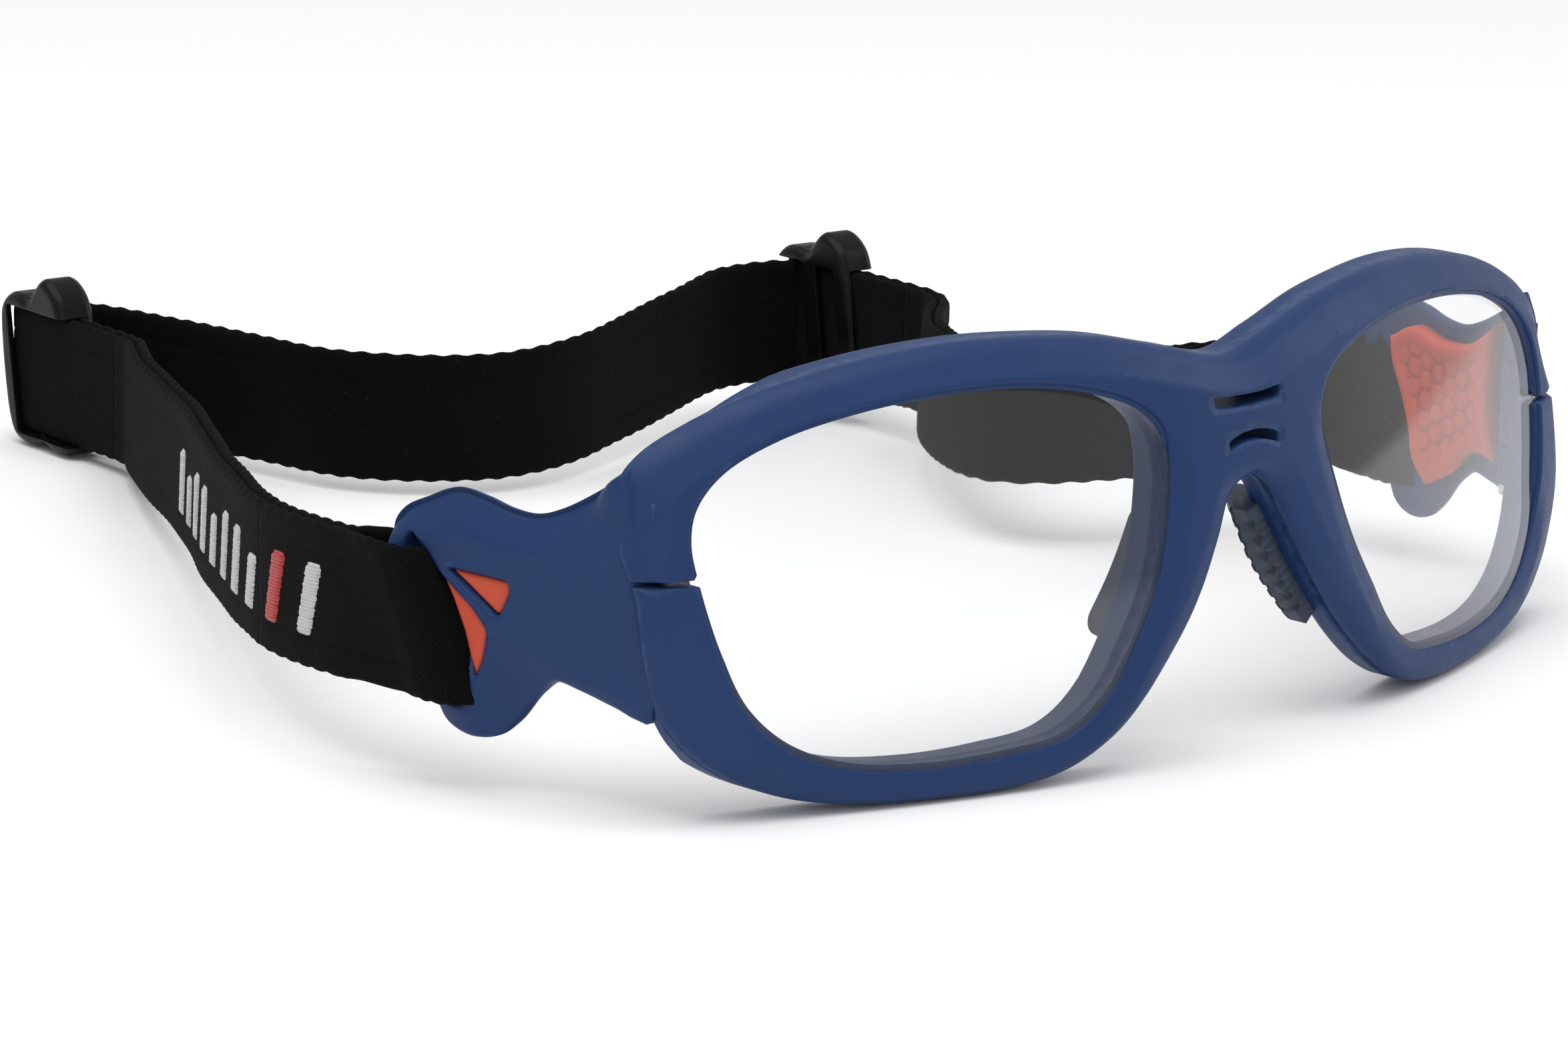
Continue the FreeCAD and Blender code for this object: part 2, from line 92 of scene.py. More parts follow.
# ---- driving dimensions, the same as in the part's source -----------------------------------------
RIM_DEPTH = 6.2
RIM_BACK = 19.5
LENS_INSET = 0.8
LENS_T = 1.8
SLIT_Z = 22.3
SLIT_HALF = 0.25
HINGE = (62.0, 20.6)
LUG_R = 1.6
KNUCKLE_Z = (16.4, 25.2)
LUGS_Z = ((12.2, 16.25), (25.35, 29.6))
PLATE_T = 2.6
PAD_T = 2.1
GAP = 0.25
WEB_T = 1.2
WEB_W = 14.3
REAR_Z = 1.3
OUTLINE = [(0, 36.8), (7, 38.3), (15.5, 40.2), (23.4, 41.0), (30, 41.2), (37, 40.8), (44, 39.8),
           (51.9, 38.0), (58, 35.8), (62.6, 33.4), (64.8, 31.0), (65.4, 27.5), (65.4, 21.5),
           (65.2, 15.0), (64.3, 10.8), (61.8, 6.9), (57.5, 3.6), (52.1, 1.4), (46, 0.35), (38.5, 0.0),
           (31, 0.1), (25, 1.0), (19.9, 3.4), (15.4, 6.9), (11.3, 11.3), (8.1, 15.6), (5.3, 20.3),
           (2.9, 24.4), (0, 25.7)]
OPENING = [(60.2, 22.4), (60.4, 25.8), (59.5, 28.7), (56.7, 31.6), (51.1, 34.2), (43.4, 36.0),
           (34.9, 36.9), (26.2, 36.8), (18.8, 35.5), (14.0, 33.6), (11.8, 31.4), (11.5, 28.6),
           (12.6, 23.2), (14.5, 17.8), (17.5, 12.6), (21.0, 7.8), (25.4, 4.9), (31.5, 4.0),
           (39.5, 3.7), (47.2, 4.5), (52.6, 6.7), (56.2, 10.2), (58.6, 15.2)]
SEAM = [(20.6, 32.2), (19.4, 29.4), (19.1, 26.0), (18.8, 22.6), (18.2, 19.9), (16.6, 15.8),
        (15.8, 13.4), (17.6, 9.3)]
LOWER_EDGE = [(17.6, 9.3), (21.5, 10.2), (25.2, 11.2), (27.8, 11.6), (30.0, 10.0), (32.4, 7.0),
              (34.6, 5.3), (37.2, 4.9), (39.6, 5.9), (41.0, 8.1)]
UPPER_EDGE = [(46.0, 21.6), (45.9, 24.0), (44.7, 25.6), (42.2, 26.9), (39.3, 28.1), (36.2, 27.7),
              (33.6, 27.0), (30.8, 26.8), (28.0, 27.7), (24.6, 29.6), (20.6, 32.2)]
SLOT = [(38.9, 8.2), (43.9, 21.6), (43.3, 23.4), (41.0, 21.6), (38.8, 18.2), (37.4, 14.8),
        (36.7, 11.6), (36.9, 8.6)]
WINDOWS = ([(39.2, 20.9), (32.4, 20.5), (32.2, 19.5), (33.2, 17.2), (33.8, 17.0)],
           [(40.2, 20.6), (36.3, 17.5), (34.6, 15.5), (35.3, 12.4), (36.0, 10.6), (36.7, 12.2),
            (37.5, 15.0), (38.8, 18.0)])
PAD_EDGES = ([(23.8, 28.4), (24.1, 20.6), (22.6, 13.8)],
             [(22.6, 13.8), (26.4, 14.2), (30.0, 11.2), (33.4, 9.2)],
             [(33.4, 9.2), (35.7, 11.6), (36.6, 15.0), (38.0, 18.4), (39.6, 21.4), (40.2, 24.2)],
             [(40.2, 24.2), (36.6, 25.9), (32.0, 25.1), (28.0, 25.6), (23.8, 28.4)])
SIDE_FRONT = {"right": [(-70.3, 50.5), (-69.6, 56), (-66.8, 66), (-61.6, 76.2), (-56.6, 84.4)],
              "left": [(69.3, 51.2), (63.4, 54.6), (54.6, 59.2), (46.9, 63.6), (42.3, 68.0), (40.7, 72.5)]}
SIDE_REAR = {"right": [(-56.5, 84.6), (-50.3, 94.6), (-35.8, 116.2), (-20.3, 142.2), (-14.2, 151.4),
                       (-11.5, 155.4), (-10.45, 159.4), (-9.84, 164.0), (-9.12, 169.5), (-8.0, 177.9)],
             "left": [(40.7, 72.8), (41.7, 77.5), (45.2, 83.6), (53.6, 94.8), (60.9, 101.9),
                      (65.8, 105.8), (68.1, 108.9), (68.9, 112.0), (69.49, 116.5), (70.28, 122.5),
                      (71.66, 133.0)]}
BACK = [(-6.4, 177.0), (-3.3, 175.7), (-1.7, 171.0), (-0.5, 163.0), (0.8, 149.0), (2.6, 136.3),
        (9.5, 127.3), (18.0, 123.4), (26.0, 123.4), (36.1, 126.5), (47.9, 130.7), (59.0, 134.5),
        (66.4, 134.2), (69.84, 132.6)]
SIDE_END_Y = {"right": 157.0, "left": 106.0}
SIDE_START = (49.6, 8.2)
LIFT = {"right": 0.0, "left": 2.4}
BACK_RISE = (15.0, 58.0)
SLIDER_AT = {"right": (-8.6, 173.4), "left": (71.07, 128.5)}
SLIDER_LEAN = 0.17
LEAN_FROM = 8.6
SLIDER_N = 2.4
MIDDLE_BAR = 1.3
OUTER_BAR = 4.9
SLIDER_END = 6.95
SLIDER_DIR = np.array([0.13, 0.9915])


def front_y(x, z):
    dz = z - 20.4
    return 0.0046 * x ** 2 - 1.6e-7 * x ** 4 + 0.168 * dz + 0.004 * dz ** 2


PLATE_SLOPE = 0.234


def plate_x(y):
    return 64.9 + PLATE_SLOPE * (y - 18.0)


# ---- curves in a plane ----------------------------------------------------------------------------
def spline(points, closed=False, step=0.6):
    """Points every step along a smooth curve through the given points (centripetal Catmull-Rom)."""
    pts = np.asarray(points, float)
    if closed:
        pts = np.vstack([pts[-1], pts, pts[0], pts[1]])
    else:
        pts = np.vstack([2 * pts[0] - pts[1], pts, 2 * pts[-1] - pts[-2]])
    out = []
    for i in range(1, len(pts) - 2):
        p0, p1, p2, p3 = pts[i - 1:i + 3]
        t0 = 0.0
        t1 = t0 + max(np.linalg.norm(p1 - p0), 1e-6) ** 0.5
        t2 = t1 + max(np.linalg.norm(p2 - p1), 1e-6) ** 0.5
        t3 = t2 + max(np.linalg.norm(p3 - p2), 1e-6) ** 0.5
        for t in np.linspace(t1, t2, 24, endpoint=False):
            a1 = (t1 - t) / (t1 - t0) * p0 + (t - t0) / (t1 - t0) * p1
            a2 = (t2 - t) / (t2 - t1) * p1 + (t - t1) / (t2 - t1) * p2
            a3 = (t3 - t) / (t3 - t2) * p2 + (t - t2) / (t3 - t2) * p3
            b1 = (t2 - t) / (t2 - t0) * a1 + (t - t0) / (t2 - t0) * a2
            b2 = (t3 - t) / (t3 - t1) * a2 + (t - t1) / (t3 - t1) * a3
            out.append((t2 - t) / (t2 - t1) * b1 + (t - t1) / (t2 - t1) * b2)
    out.append(pts[-2])
    return resample(np.array(out), step, closed)


def resample(line, step, closed=False):
    """The same line with points evenly spaced, about step apart.
    A closed line doesn't repeat its first point."""
    lengths = np.concatenate([[0], np.cumsum(np.linalg.norm(np.diff(line, axis=0), axis=1))])
    count = max(2, int(round(lengths[-1] / step)))
    at = np.linspace(0, lengths[-1], count + 1)
    if closed:
        at = at[:-1]
    return np.stack([np.interp(at, lengths, line[:, k]) for k in range(line.shape[1])], axis=1)


def corner_loop(*edges, step=0.6):
    """A closed loop from smooth edges that meet in corners."""
    return np.vstack([spline(edge, step=step)[:-1] for edge in edges])


def round_loop(points, radius, step=0.4):
    """A closed polygon with its corners rounded."""
    pts = np.asarray(points, float)
    out = []
    for i in range(len(pts)):
        a, b, c = pts[i - 1], pts[i], pts[(i + 1) % len(pts)]
        reach = min(radius, 0.45 * np.linalg.norm(a - b), 0.45 * np.linalg.norm(c - b))
        p = b + (a - b) / np.linalg.norm(a - b) * reach
        q = b + (c - b) / np.linalg.norm(c - b) * reach
        for t in np.linspace(0, 1, 7):
            out.append((1 - t) ** 2 * p + 2 * t * (1 - t) * b + t * t * q)
    out.append(out[0])
    return resample(np.array(out), step, closed=True)


def inside(points, loop):
    """Which points lie inside a closed loop."""
    x, y = points[:, 0], points[:, 1]
    result = np.zeros(len(points), bool)
    px, py = loop[:, 0], loop[:, 1]
    qx, qy = np.roll(px, -1), np.roll(py, -1)
    for x1, y1, x2, y2 in zip(px, py, qx, qy):
        crosses = (y1 > y) != (y2 > y)
        if y1 != y2:
            result ^= crosses & (x < (x2 - x1) * (y - y1) / (y2 - y1) + x1)
    return result


def distance(points, loop, closed=True):
    """How far each point is from a line, and the unit direction from the line to the point."""
    a = loop if closed else loop[:-1]
    b = np.roll(loop, -1, axis=0) if closed else loop[1:]
    best = np.full(len(points), 1e9)
    away = np.zeros((len(points), 2))
    d = b - a
    squared = np.maximum((d ** 2).sum(1), 1e-12)
    for start in range(0, len(points), 2000):
        p = points[start:start + 2000]
        rel = p[:, None, :] - a[None]
        t = np.clip((rel * d[None]).sum(2) / squared[None], 0, 1)
        near = rel - t[..., None] * d[None]
        length = np.linalg.norm(near, axis=2)
        k = length.argmin(1)
        rows = np.arange(len(p))
        best[start:start + 2000] = length[rows, k]
        away[start:start + 2000] = near[rows, k] / np.maximum(length[rows, k], 1e-9)[:, None]
    return best, away


def offset_loop(loop, distance_out):
    """A closed loop moved sideways; positive is outward for a counter-clockwise loop."""
    forward = np.roll(loop, -1, axis=0) - np.roll(loop, 1, axis=0)
    normal = np.stack([forward[:, 1], -forward[:, 0]], axis=1)
    normal /= np.linalg.norm(normal, axis=1)[:, None]
    area = (loop[:, 0] * np.roll(loop[:, 1], -1) - np.roll(loop[:, 0], -1) * loop[:, 1]).sum()
    return loop + normal * distance_out * (1 if area > 0 else -1)


def step_up(value, low, high):
    t = np.clip((value - low) / (high - low), 0, 1)
    return t * t * (3 - 2 * t)


def rounding(distance_in, radius):
    """How far a rounded edge falls back at a distance in from the edge."""
    t = np.clip(distance_in / radius, 0, 1)
    return radius * (1 - np.sqrt(np.maximum(1 - (1 - t) ** 2, 0)))


# ---- meshes ---------------------------------------------------------------------------------------
def make_object(name, vertices, faces, material, body=None, slot=None, uvs=None, smooth=True):
    """vertices in millimetres in the goggles' own axes."""
    mesh = bpy.data.meshes.new(name)
    mesh.from_pydata([tuple(v) for v in place(vertices)], [], [tuple(int(i) for i in f) for f in faces])
    if uvs is not None:
        layer = mesh.uv_layers.new(name="UVMap")
        corner = np.zeros(len(mesh.loops), np.int32)
        mesh.loops.foreach_get("vertex_index", corner)
        layer.data.foreach_set("uv", np.asarray(uvs, np.float32)[corner].ravel())
    mesh.validate()
    mesh.polygons.foreach_set("use_smooth", [smooth] * len(mesh.polygons))
    mesh.update()
    obj = bpy.data.objects.new(name, mesh)
    bpy.context.scene.collection.objects.link(obj)
    for one in material if isinstance(material, (list, tuple)) else [material]:
        mesh.materials.append(one)
    if body:
        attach(obj, body)
    return obj


ROW_SHARE = 0.866        # height of an equilateral triangle with sides of 1


def flat_mesh(keep, loops, guides=(), spacing=0.8):
    """A triangle mesh of a flat region: loops are its edges, guides are lines of extra points, and keep
    says which points are in the region. Returns points, triangles and the boundary edges."""
    points, edges = [], []
    for loop in loops:
        first = len(points)
        points += [tuple(p) for p in loop]
        edges += [(first + i, first + (i + 1) % len(loop)) for i in range(len(loop))]
    fixed = np.array(points)
    for guide in guides:
        points += [tuple(p) for p in guide]
    low, high = fixed.min(0), fixed.max(0)
    grid = []
    row = 0
    y = low[1]
    while y < high[1]:
        xs = np.arange(low[0] + (row % 2) * spacing / 2, high[0], spacing)
        grid += [(x, y) for x in xs]
        y += spacing * ROW_SHARE
        row += 1
    grid = np.array(grid)
    everything = np.array(points)
    near = np.full(len(grid), 1e9)
    for start in range(0, len(grid), 1000):
        part = grid[start:start + 1000]
        near[start:start + 1000] = np.sqrt(((part[:, None] - everything[None]) ** 2).sum(2)).min(1)
    grid = grid[(near > spacing * 0.55) & keep(grid)]
    everything = np.vstack([everything, grid])
    made = delaunay_2d_cdt([Vector(p) for p in everything], edges, [], 0, 1e-5)
    flat = np.array([tuple(v) for v in made[0]])
    triangles = np.array([f for f in made[2] if len(f) == 3])
    centres = flat[triangles].mean(1)
    triangles = triangles[keep(centres)]
    a, b, c = (flat[triangles[:, k]] for k in range(3))
    area = (b - a)[:, 0] * (c - a)[:, 1] - (b - a)[:, 1] * (c - a)[:, 0]
    triangles[area < 0] = triangles[area < 0][:, ::-1]
    triangles = triangles[np.abs(area) > 1e-7]
    used = np.unique(triangles)
    renumber = np.full(len(flat), -1)
    renumber[used] = np.arange(len(used))
    flat, triangles = flat[used], renumber[triangles]
    directed = {}
    for t in triangles:
        for k in range(3):
            directed[(t[k], t[(k + 1) % 3])] = True
    boundary = [e for e in directed if (e[1], e[0]) not in directed]
    return flat, triangles, boundary


def shell(flat, triangles, boundary, front, back, to_space, wall=None):
    """A closed solid between two heights over a flat mesh. wall(points, front, back) gives rows of
    (points, heights) between the two faces at the boundary."""
    count = len(flat)
    vertices = [to_space(flat, front), to_space(flat, back)]
    faces = [tuple(t) for t in triangles] + [tuple(t[::-1] + count) for t in triangles]
    rim = sorted(set(i for e in boundary for i in e))
    place_of = {v: i for i, v in enumerate(rim)}
    rows = wall(flat[rim], front[rim], back[rim]) if wall else []
    total = 2 * count
    rings = [{v: v for v in rim}]
    for points, heights in rows:
        vertices.append(to_space(points, heights))
        rings.append({v: total + place_of[v] for v in rim})
        total += len(rim)
    rings.append({v: v + count for v in rim})
    for one, two in zip(rings[:-1], rings[1:]):
        for i, j in boundary:
            faces.append((one[j], one[i], two[i], two[j]))
    return np.vstack(vertices), faces


def merge(*shapes):
    """Several (vertices, faces) as one."""
    vertices, faces, shift = [], [], 0
    for v, f in shapes:
        vertices.append(np.asarray(v, float))
        faces += [tuple(int(i) + shift for i in face) for face in f]
        shift += len(v)
    return np.vstack(vertices), faces


def mirrored(shape, side):
    vertices, faces = shape
    if side > 0:
        return vertices, faces
    flipped = np.array(vertices, float)
    flipped[:, 0] *= -1
    return flipped, [tuple(reversed(face)) for face in faces]


def ring_faces(rings, count):
    """The faces of a closed tube made of rings with count points each, and of its two ends."""
    faces = []
    for k in range(rings - 1):
        for i in range(count):
            j = (i + 1) % count
            faces.append((k * count + i, k * count + j, (k + 1) * count + j, (k + 1) * count + i))
    faces.append(tuple(range(count))[::-1])
    faces.append(tuple((rings - 1) * count + i for i in range(count)))
    return faces


def lathe(axis_xy, rings, segments=32):
    """A solid of revolution about an upright axis; rings are (radius, z), and both ends are closed."""
    vertices = []
    turn = 2 * math.pi * np.arange(segments) / segments
    for radius, z in rings:
        circle = np.stack([axis_xy[0] + radius * np.cos(turn), axis_xy[1] + radius * np.sin(turn),
                           np.full(segments, float(z))], axis=1)
        vertices.append(circle)
    return np.vstack(vertices), ring_faces(len(rings), segments)


def prism(loop, rings):
    """A solid over a closed loop; rings are (how far the loop grows, z)."""
    vertices = [np.column_stack([offset_loop(loop, grow), np.full(len(loop), z)]) for grow, z in rings]
    return np.vstack(vertices), ring_faces(len(rings), len(loop))


def pillar(loop, z0, z1, edge=0.3):
    """An upright prism with softened ends over a closed (x, y) loop, counter-clockwise."""
    return prism(loop, [(-edge, z0), (0, z0 + edge), (0, z1 - edge), (-edge, z1)])


# ---- materials ------------------------------------------------------------------------------------
class Nodes:
    """A Principled material whose colour, roughness and bump come from procedural nodes."""

    def __init__(self, name, rough=0.5, **sockets):
        self.material = bpy.data.materials.new(name)
        self.material.use_nodes = True
        self.tree = self.material.node_tree
        self.shader = self.tree.nodes["Principled BSDF"]
        self.shader.inputs["Roughness"].default_value = rough
        for socket, value in sockets.items():
            self.shader.inputs[socket.replace("_", " ")].default_value = value
        self.last_bump = None

    def new(self, kind, **settings):
        node = self.tree.nodes.new(kind)
        for key, value in settings.items():
            setattr(node, key, value)
        return node

    def link(self, a, b):
        self.tree.links.new(a, b)

    def coords(self, kind="Object"):
        return self.new("ShaderNodeTexCoord").outputs[kind]

    def noise(self, scale, detail=3.0, rough=0.5, vector=None):
        node = self.new("ShaderNodeTexNoise")
        node.inputs["Scale"].default_value = scale
        node.inputs["Detail"].default_value = detail
        node.inputs["Roughness"].default_value = rough
        self.link(vector or self.coords(), node.inputs["Vector"])
        return node.outputs["Fac"]

    def spread(self, value, low, high, to_low=0.0, to_high=1.0):
        node = self.new("ShaderNodeMapRange")
        for key, number in zip(("From Min", "From Max", "To Min", "To Max"), (low, high, to_low, to_high)):
            node.inputs[key].default_value = number
        self.link(value, node.inputs["Value"])
        return node.outputs["Result"]

    def maths(self, operation, a, b=None, c=None):
        node = self.new("ShaderNodeMath", operation=operation)
        for socket, value in zip(node.inputs, (a, b, c)):
            if value is None:
                continue
            if isinstance(value, (int, float)):
                socket.default_value = value
            else:
                self.link(value, socket)
        return node.outputs["Value"]

    def mix(self, factor, low, high):
        node = self.new("ShaderNodeMix", data_type="RGBA")
        self.link(factor, node.inputs["Factor"])
        for socket, value in ((node.inputs[6], low), (node.inputs[7], high)):
            if isinstance(value, tuple):
                socket.default_value = (*value, 1.0)
            else:
                self.link(value, socket)
        return node.outputs[2]

    def colour(self, value):
        self.link(value, self.shader.inputs["Base Color"])

    def roughness(self, value):
        self.link(value, self.shader.inputs["Roughness"])

    def bump(self, height, distance, strength=1.0):
        node = self.new("ShaderNodeBump")
        node.inputs["Distance"].default_value = distance
        node.inputs["Strength"].default_value = strength
        self.link(height, node.inputs["Height"])
        if self.last_bump:
            self.link(self.last_bump, node.inputs["Normal"])
        self.last_bump = node.outputs["Normal"]
        self.link(self.last_bump, self.shader.inputs["Normal"])

    def painted_edge_highlight(self, low, high):
        """1 on convex edges, broken up by noise: the mask for a painted highlight along the edges."""
        pointed = self.spread(self.new("ShaderNodeNewGeometry").outputs["Pointiness"], low, high)
        return self.maths("MULTIPLY", pointed, self.spread(self.noise(900, 4), 0.35, 0.7))


def moulded_navy():
    m = Nodes("moulded_navy", rough=0.42, Specular_IOR_Level=0.2)
    cloud = m.spread(m.noise(35, 4), 0.3, 0.7)
    base = m.mix(cloud, (0.0095, 0.0315, 0.108), (0.0120, 0.0370, 0.123))
    base = m.mix(m.spread(m.noise(5200, 2), 0.62, 0.78, 0, 0.3), base, (0.022, 0.058, 0.160))
    # painted highlight: the convex edges get a lighter navy, standing in for the light caught along the rim's
    # ridges
    base = m.mix(m.painted_edge_highlight(0.56, 0.66), base, (0.030, 0.070, 0.175))
    m.colour(base)
    m.roughness(m.spread(m.noise(260, 5, 0.6), 0.25, 0.75, 0.36, 0.50))
    m.bump(m.noise(4200, 3, 0.6), 0.00003, 0.55)
    m.bump(m.noise(240, 2), 0.00006, 0.25)
    return m.material


def pad_rubber():
    m = Nodes("pad_rubber", rough=0.6, Specular_IOR_Level=0.35, Subsurface_Weight=0.08,
              Subsurface_Scale=0.001)
    cloud = m.spread(m.noise(60, 4), 0.3, 0.7)
    base = m.mix(cloud, (0.50, 0.062, 0.028), (0.57, 0.078, 0.036))
    # painted shade: the orange rubber turns darker where the surface is concave, in the grooves and hollows
    # where shade falls
    low = m.spread(m.new("ShaderNodeNewGeometry").outputs["Pointiness"], 0.42, 0.50)
    m.colour(m.mix(low, (0.33, 0.040, 0.022), base))
    m.roughness(m.spread(m.noise(420, 4), 0.3, 0.7, 0.5, 0.72))
    m.bump(m.noise(3600, 3), 0.00004, 0.6)
    return m.material


def nose_rubber():
    m = Nodes("nose_rubber", rough=0.55, Specular_IOR_Level=0.4)
    cloud = m.spread(m.noise(70, 4), 0.3, 0.7)
    m.colour(m.mix(cloud, (0.020, 0.030, 0.055), (0.032, 0.045, 0.075)))
    m.roughness(m.spread(m.noise(500, 4), 0.3, 0.7, 0.45, 0.66))
    m.bump(m.noise(3800, 3), 0.00004, 0.6)
    return m.material


def black_nylon():
    m = Nodes("black_nylon", rough=0.34, Specular_IOR_Level=0.14)
    cloud = m.spread(m.noise(80, 4), 0.3, 0.7)
    m.colour(m.mix(cloud, (0.0025, 0.0028, 0.003), (0.0045, 0.0048, 0.0052)))
    m.roughness(m.spread(m.noise(350, 5), 0.3, 0.7, 0.24, 0.42))
    m.bump(m.noise(1500, 3), 0.00003, 0.4)
    return m.material


def webbing(name, tint=1.0, ribs=(0.62, 0.50)):
    """Knitted elastic: upright rows of small loops, from the UV map, which is in millimetres."""
    m = Nodes(name, rough=0.9, Specular_IOR_Level=0.06, Sheen_Weight=0.02, Sheen_Roughness=0.5)
    m.shader.inputs["Sheen Tint"].default_value = (0.6, 0.6, 0.62, 1)
    split = m.new("ShaderNodeSeparateXYZ")
    uv = m.coords("UV")
    wobble = m.new("ShaderNodeVectorMath", operation="MULTIPLY_ADD")
    noise = m.new("ShaderNodeTexNoise")
    noise.inputs["Scale"].default_value = 1.3
    noise.inputs["Detail"].default_value = 2.0
    m.link(uv, noise.inputs["Vector"])
    m.link(noise.outputs["Color"], wobble.inputs[0])
    wobble.inputs[1].default_value = (0.16, 0.16, 0.0)
    m.link(uv, wobble.inputs[2])
    m.link(wobble.outputs[0], split.inputs[0])
    u, v = split.outputs["X"], split.outputs["Y"]
    column = m.maths("SINE", m.maths("MULTIPLY", u, 2 * math.pi / ribs[0]))
    half_turn = m.maths("MULTIPLY", m.maths("SIGN", column), math.pi / 2)
    row = m.maths("SINE", m.maths("ADD", m.maths("MULTIPLY", v, 2 * math.pi / ribs[1]), half_turn))
    loops = m.maths("MULTIPLY", m.maths("ABSOLUTE", column), m.spread(row, -1, 1))
    fuzz = m.noise(2600, 4, 0.7)
    height = m.maths("ADD", loops, m.maths("MULTIPLY", fuzz, 0.5))
    shade = m.spread(loops, 0.0, 1.0, 0.6, 1.0)
    patch = m.spread(m.noise(120, 3), 0.3, 0.7)
    dark = tuple(c * tint for c in (0.0012, 0.0012, 0.0014))
    light = tuple(c * tint for c in (0.0044, 0.0044, 0.0048))
    base = m.mix(m.maths("MULTIPLY", shade, m.spread(patch, 0, 1, 0.75, 1.0)), dark, light)
    lint = m.spread(m.noise(1900, 2), 0.71, 0.76)
    m.colour(m.mix(m.maths("MULTIPLY", lint, 0.35), base, (0.03, 0.03, 0.032)))
    m.roughness(m.spread(fuzz, 0.3, 0.7, 0.82, 0.98))
    m.bump(height, 0.00012, 0.7)
    m.bump(m.noise(5200, 2), 0.00006, 0.5)
    return m.material


def embroidery(name, colour, dark):
    m = Nodes(name, rough=0.55, Sheen_Weight=0.3, Sheen_Roughness=0.4)
    split = m.new("ShaderNodeSeparateXYZ")
    m.link(m.coords("UV"), split.inputs[0])
    thread = m.maths("SINE", m.maths("MULTIPLY", split.outputs["Y"], 2 * math.pi / 0.34))
    patch = m.spread(m.noise(900, 3), 0.3, 0.7, 0.0, 0.35)
    # darker between the rows of thread: painted shade in the grooves between stitches, plus random patches of
    # darker tone
    m.colour(m.mix(m.maths("ADD", m.spread(thread, -1, -0.2, 0.5, 0), patch), colour, dark))
    m.roughness(m.spread(m.noise(700, 3), 0.3, 0.7, 0.45, 0.7))
    m.bump(thread, 0.00012, 0.9)
    m.bump(m.noise(3000, 3), 0.00005, 0.6)
    return m.material


def metal(name, light, dark, rough):
    m = Nodes(name, rough=rough, Metallic=1.0)
    m.colour(m.mix(m.spread(m.noise(700, 4), 0.35, 0.65), light, dark))
    m.roughness(m.spread(m.noise(1500, 5), 0.3, 0.7, rough * 0.8, rough * 1.3))
    m.bump(m.noise(2600, 3), 0.00002, 0.5)
    return m.material


def clear_lens():
    m = Nodes("clear_lens", rough=0.02, Transmission_Weight=1.0, IOR=1.45)
    m.shader.inputs["Base Color"].default_value = (0.97, 0.98, 0.99, 1)
    m.roughness(m.spread(m.noise(90, 4), 0.35, 0.75, 0.0, 0.03))
    m.bump(m.noise(14, 1), 0.00002, 0.2)
    return m.material


NAVY = moulded_navy()
PAD_ORANGE = pad_rubber()
NOSE_DARK = nose_rubber()
NYLON = black_nylon()
WEB = webbing("elastic_webbing")
WEB_BACK = webbing("elastic_webbing_back", tint=0.85, ribs=(0.55, 0.55))
STEEL = metal("plated_steel", (0.62, 0.62, 0.64), (0.45, 0.45, 0.47), 0.28)
BRASS = metal("turned_brass", (0.72, 0.50, 0.20), (0.55, 0.38, 0.16), 0.3)
LENS = clear_lens()
# each thread's second colour is its painted shade between the stitches
THREAD_WHITE = embroidery("white_thread", (0.78, 0.78, 0.77), (0.42, 0.42, 0.42))
THREAD_RED = embroidery("red_thread", (0.62, 0.018, 0.020), (0.30, 0.010, 0.012))


# ---- the front ------------------------------------------------------------------------------------
LIP_WIDTH = 0.45
OUTER_ROUND = 1.15
REAR_ROUND = 0.9


def top_weight(points):
    """1 near the upper edge of the front, 0 elsewhere."""
    x = np.abs(points[:, 0])
    upper = np.interp(x, [0, 7, 15.5, 30, 44, 51.9, 58, 62.6, 66],
                      [36.8, 38.3, 40.2, 41.2, 39.8, 38, 35.8, 33.4, 29])
    return step_up(points[:, 1], upper - 9.5, upper - 4.5)


def front_heights(points, outer, openings):
    d_out, _ = distance(points, outer)
    d_in = np.minimum(*(distance(points, loop)[0] for loop in openings))
    x, z = points[:, 0], points[:, 1]
    height = rounding(d_out, OUTER_ROUND)
    band = step_up(3.4 - d_out, 0.0, 0.55)
    slope = np.clip(3.4 - d_out, 0, 3.4) * 0.42
    height += top_weight(points) * slope * band
    low = 1 - step_up(z, 8.0, 15.0)
    height += low * step_up(3.0 - d_out, 0, 0.6) * np.clip(3.0 - d_out, 0, 3.0) * 0.16
    nasal = (1 - step_up(np.abs(x), 13.0, 24.0)) * (1 - step_up(z, 27.0, 33.0))
    lower_inner = (1 - step_up(z, 9.0, 16.0))
    inner = np.maximum(nasal, lower_inner)
    height += np.clip(2.3 - d_in, 0, 2.3) * 0.26 * inner * step_up(2.3 - d_in, 0, 0.5)
    height += rounding(d_in, 0.5)
    outer_end = step_up(np.abs(x), 60.5, 63.5)
    height += outer_end * (1 - step_up(d_in, 0.0, 2.2)) * 0.25
    nose_wall = (1 - step_up(np.abs(x), 9.0, 20.0)) * (1 - step_up(z, 24.0, 28.0))
    height += nose_wall * np.clip(2.6 - d_out, 0, 2.6) * 0.35
    return front_y(x, z) + height


def rear_heights(points, outer, openings):
    d_out, _ = distance(points, outer)
    d_in = np.minimum(*(distance(points, loop)[0] for loop in openings))
    x, z = points[:, 0], points[:, 1]
    seam = spline(SEAM, step=0.3)[::-1]
    end = np.interp(z, seam[:, 1], seam[:, 0], left=17.6, right=20.6)
    height = front_y(x, z) + RIM_DEPTH - rounding(d_out, REAR_ROUND) - rounding(d_in, 0.5)
    cut_low = step_up(np.abs(x), 56.0, 61.4) * (1 - step_up(z, 9.3, 13.0))
    limit = np.where(np.abs(x) > 61.4, end, RIM_BACK + (SEAM[-1][0] - RIM_BACK) * cut_low)
    return np.minimum(height, limit)


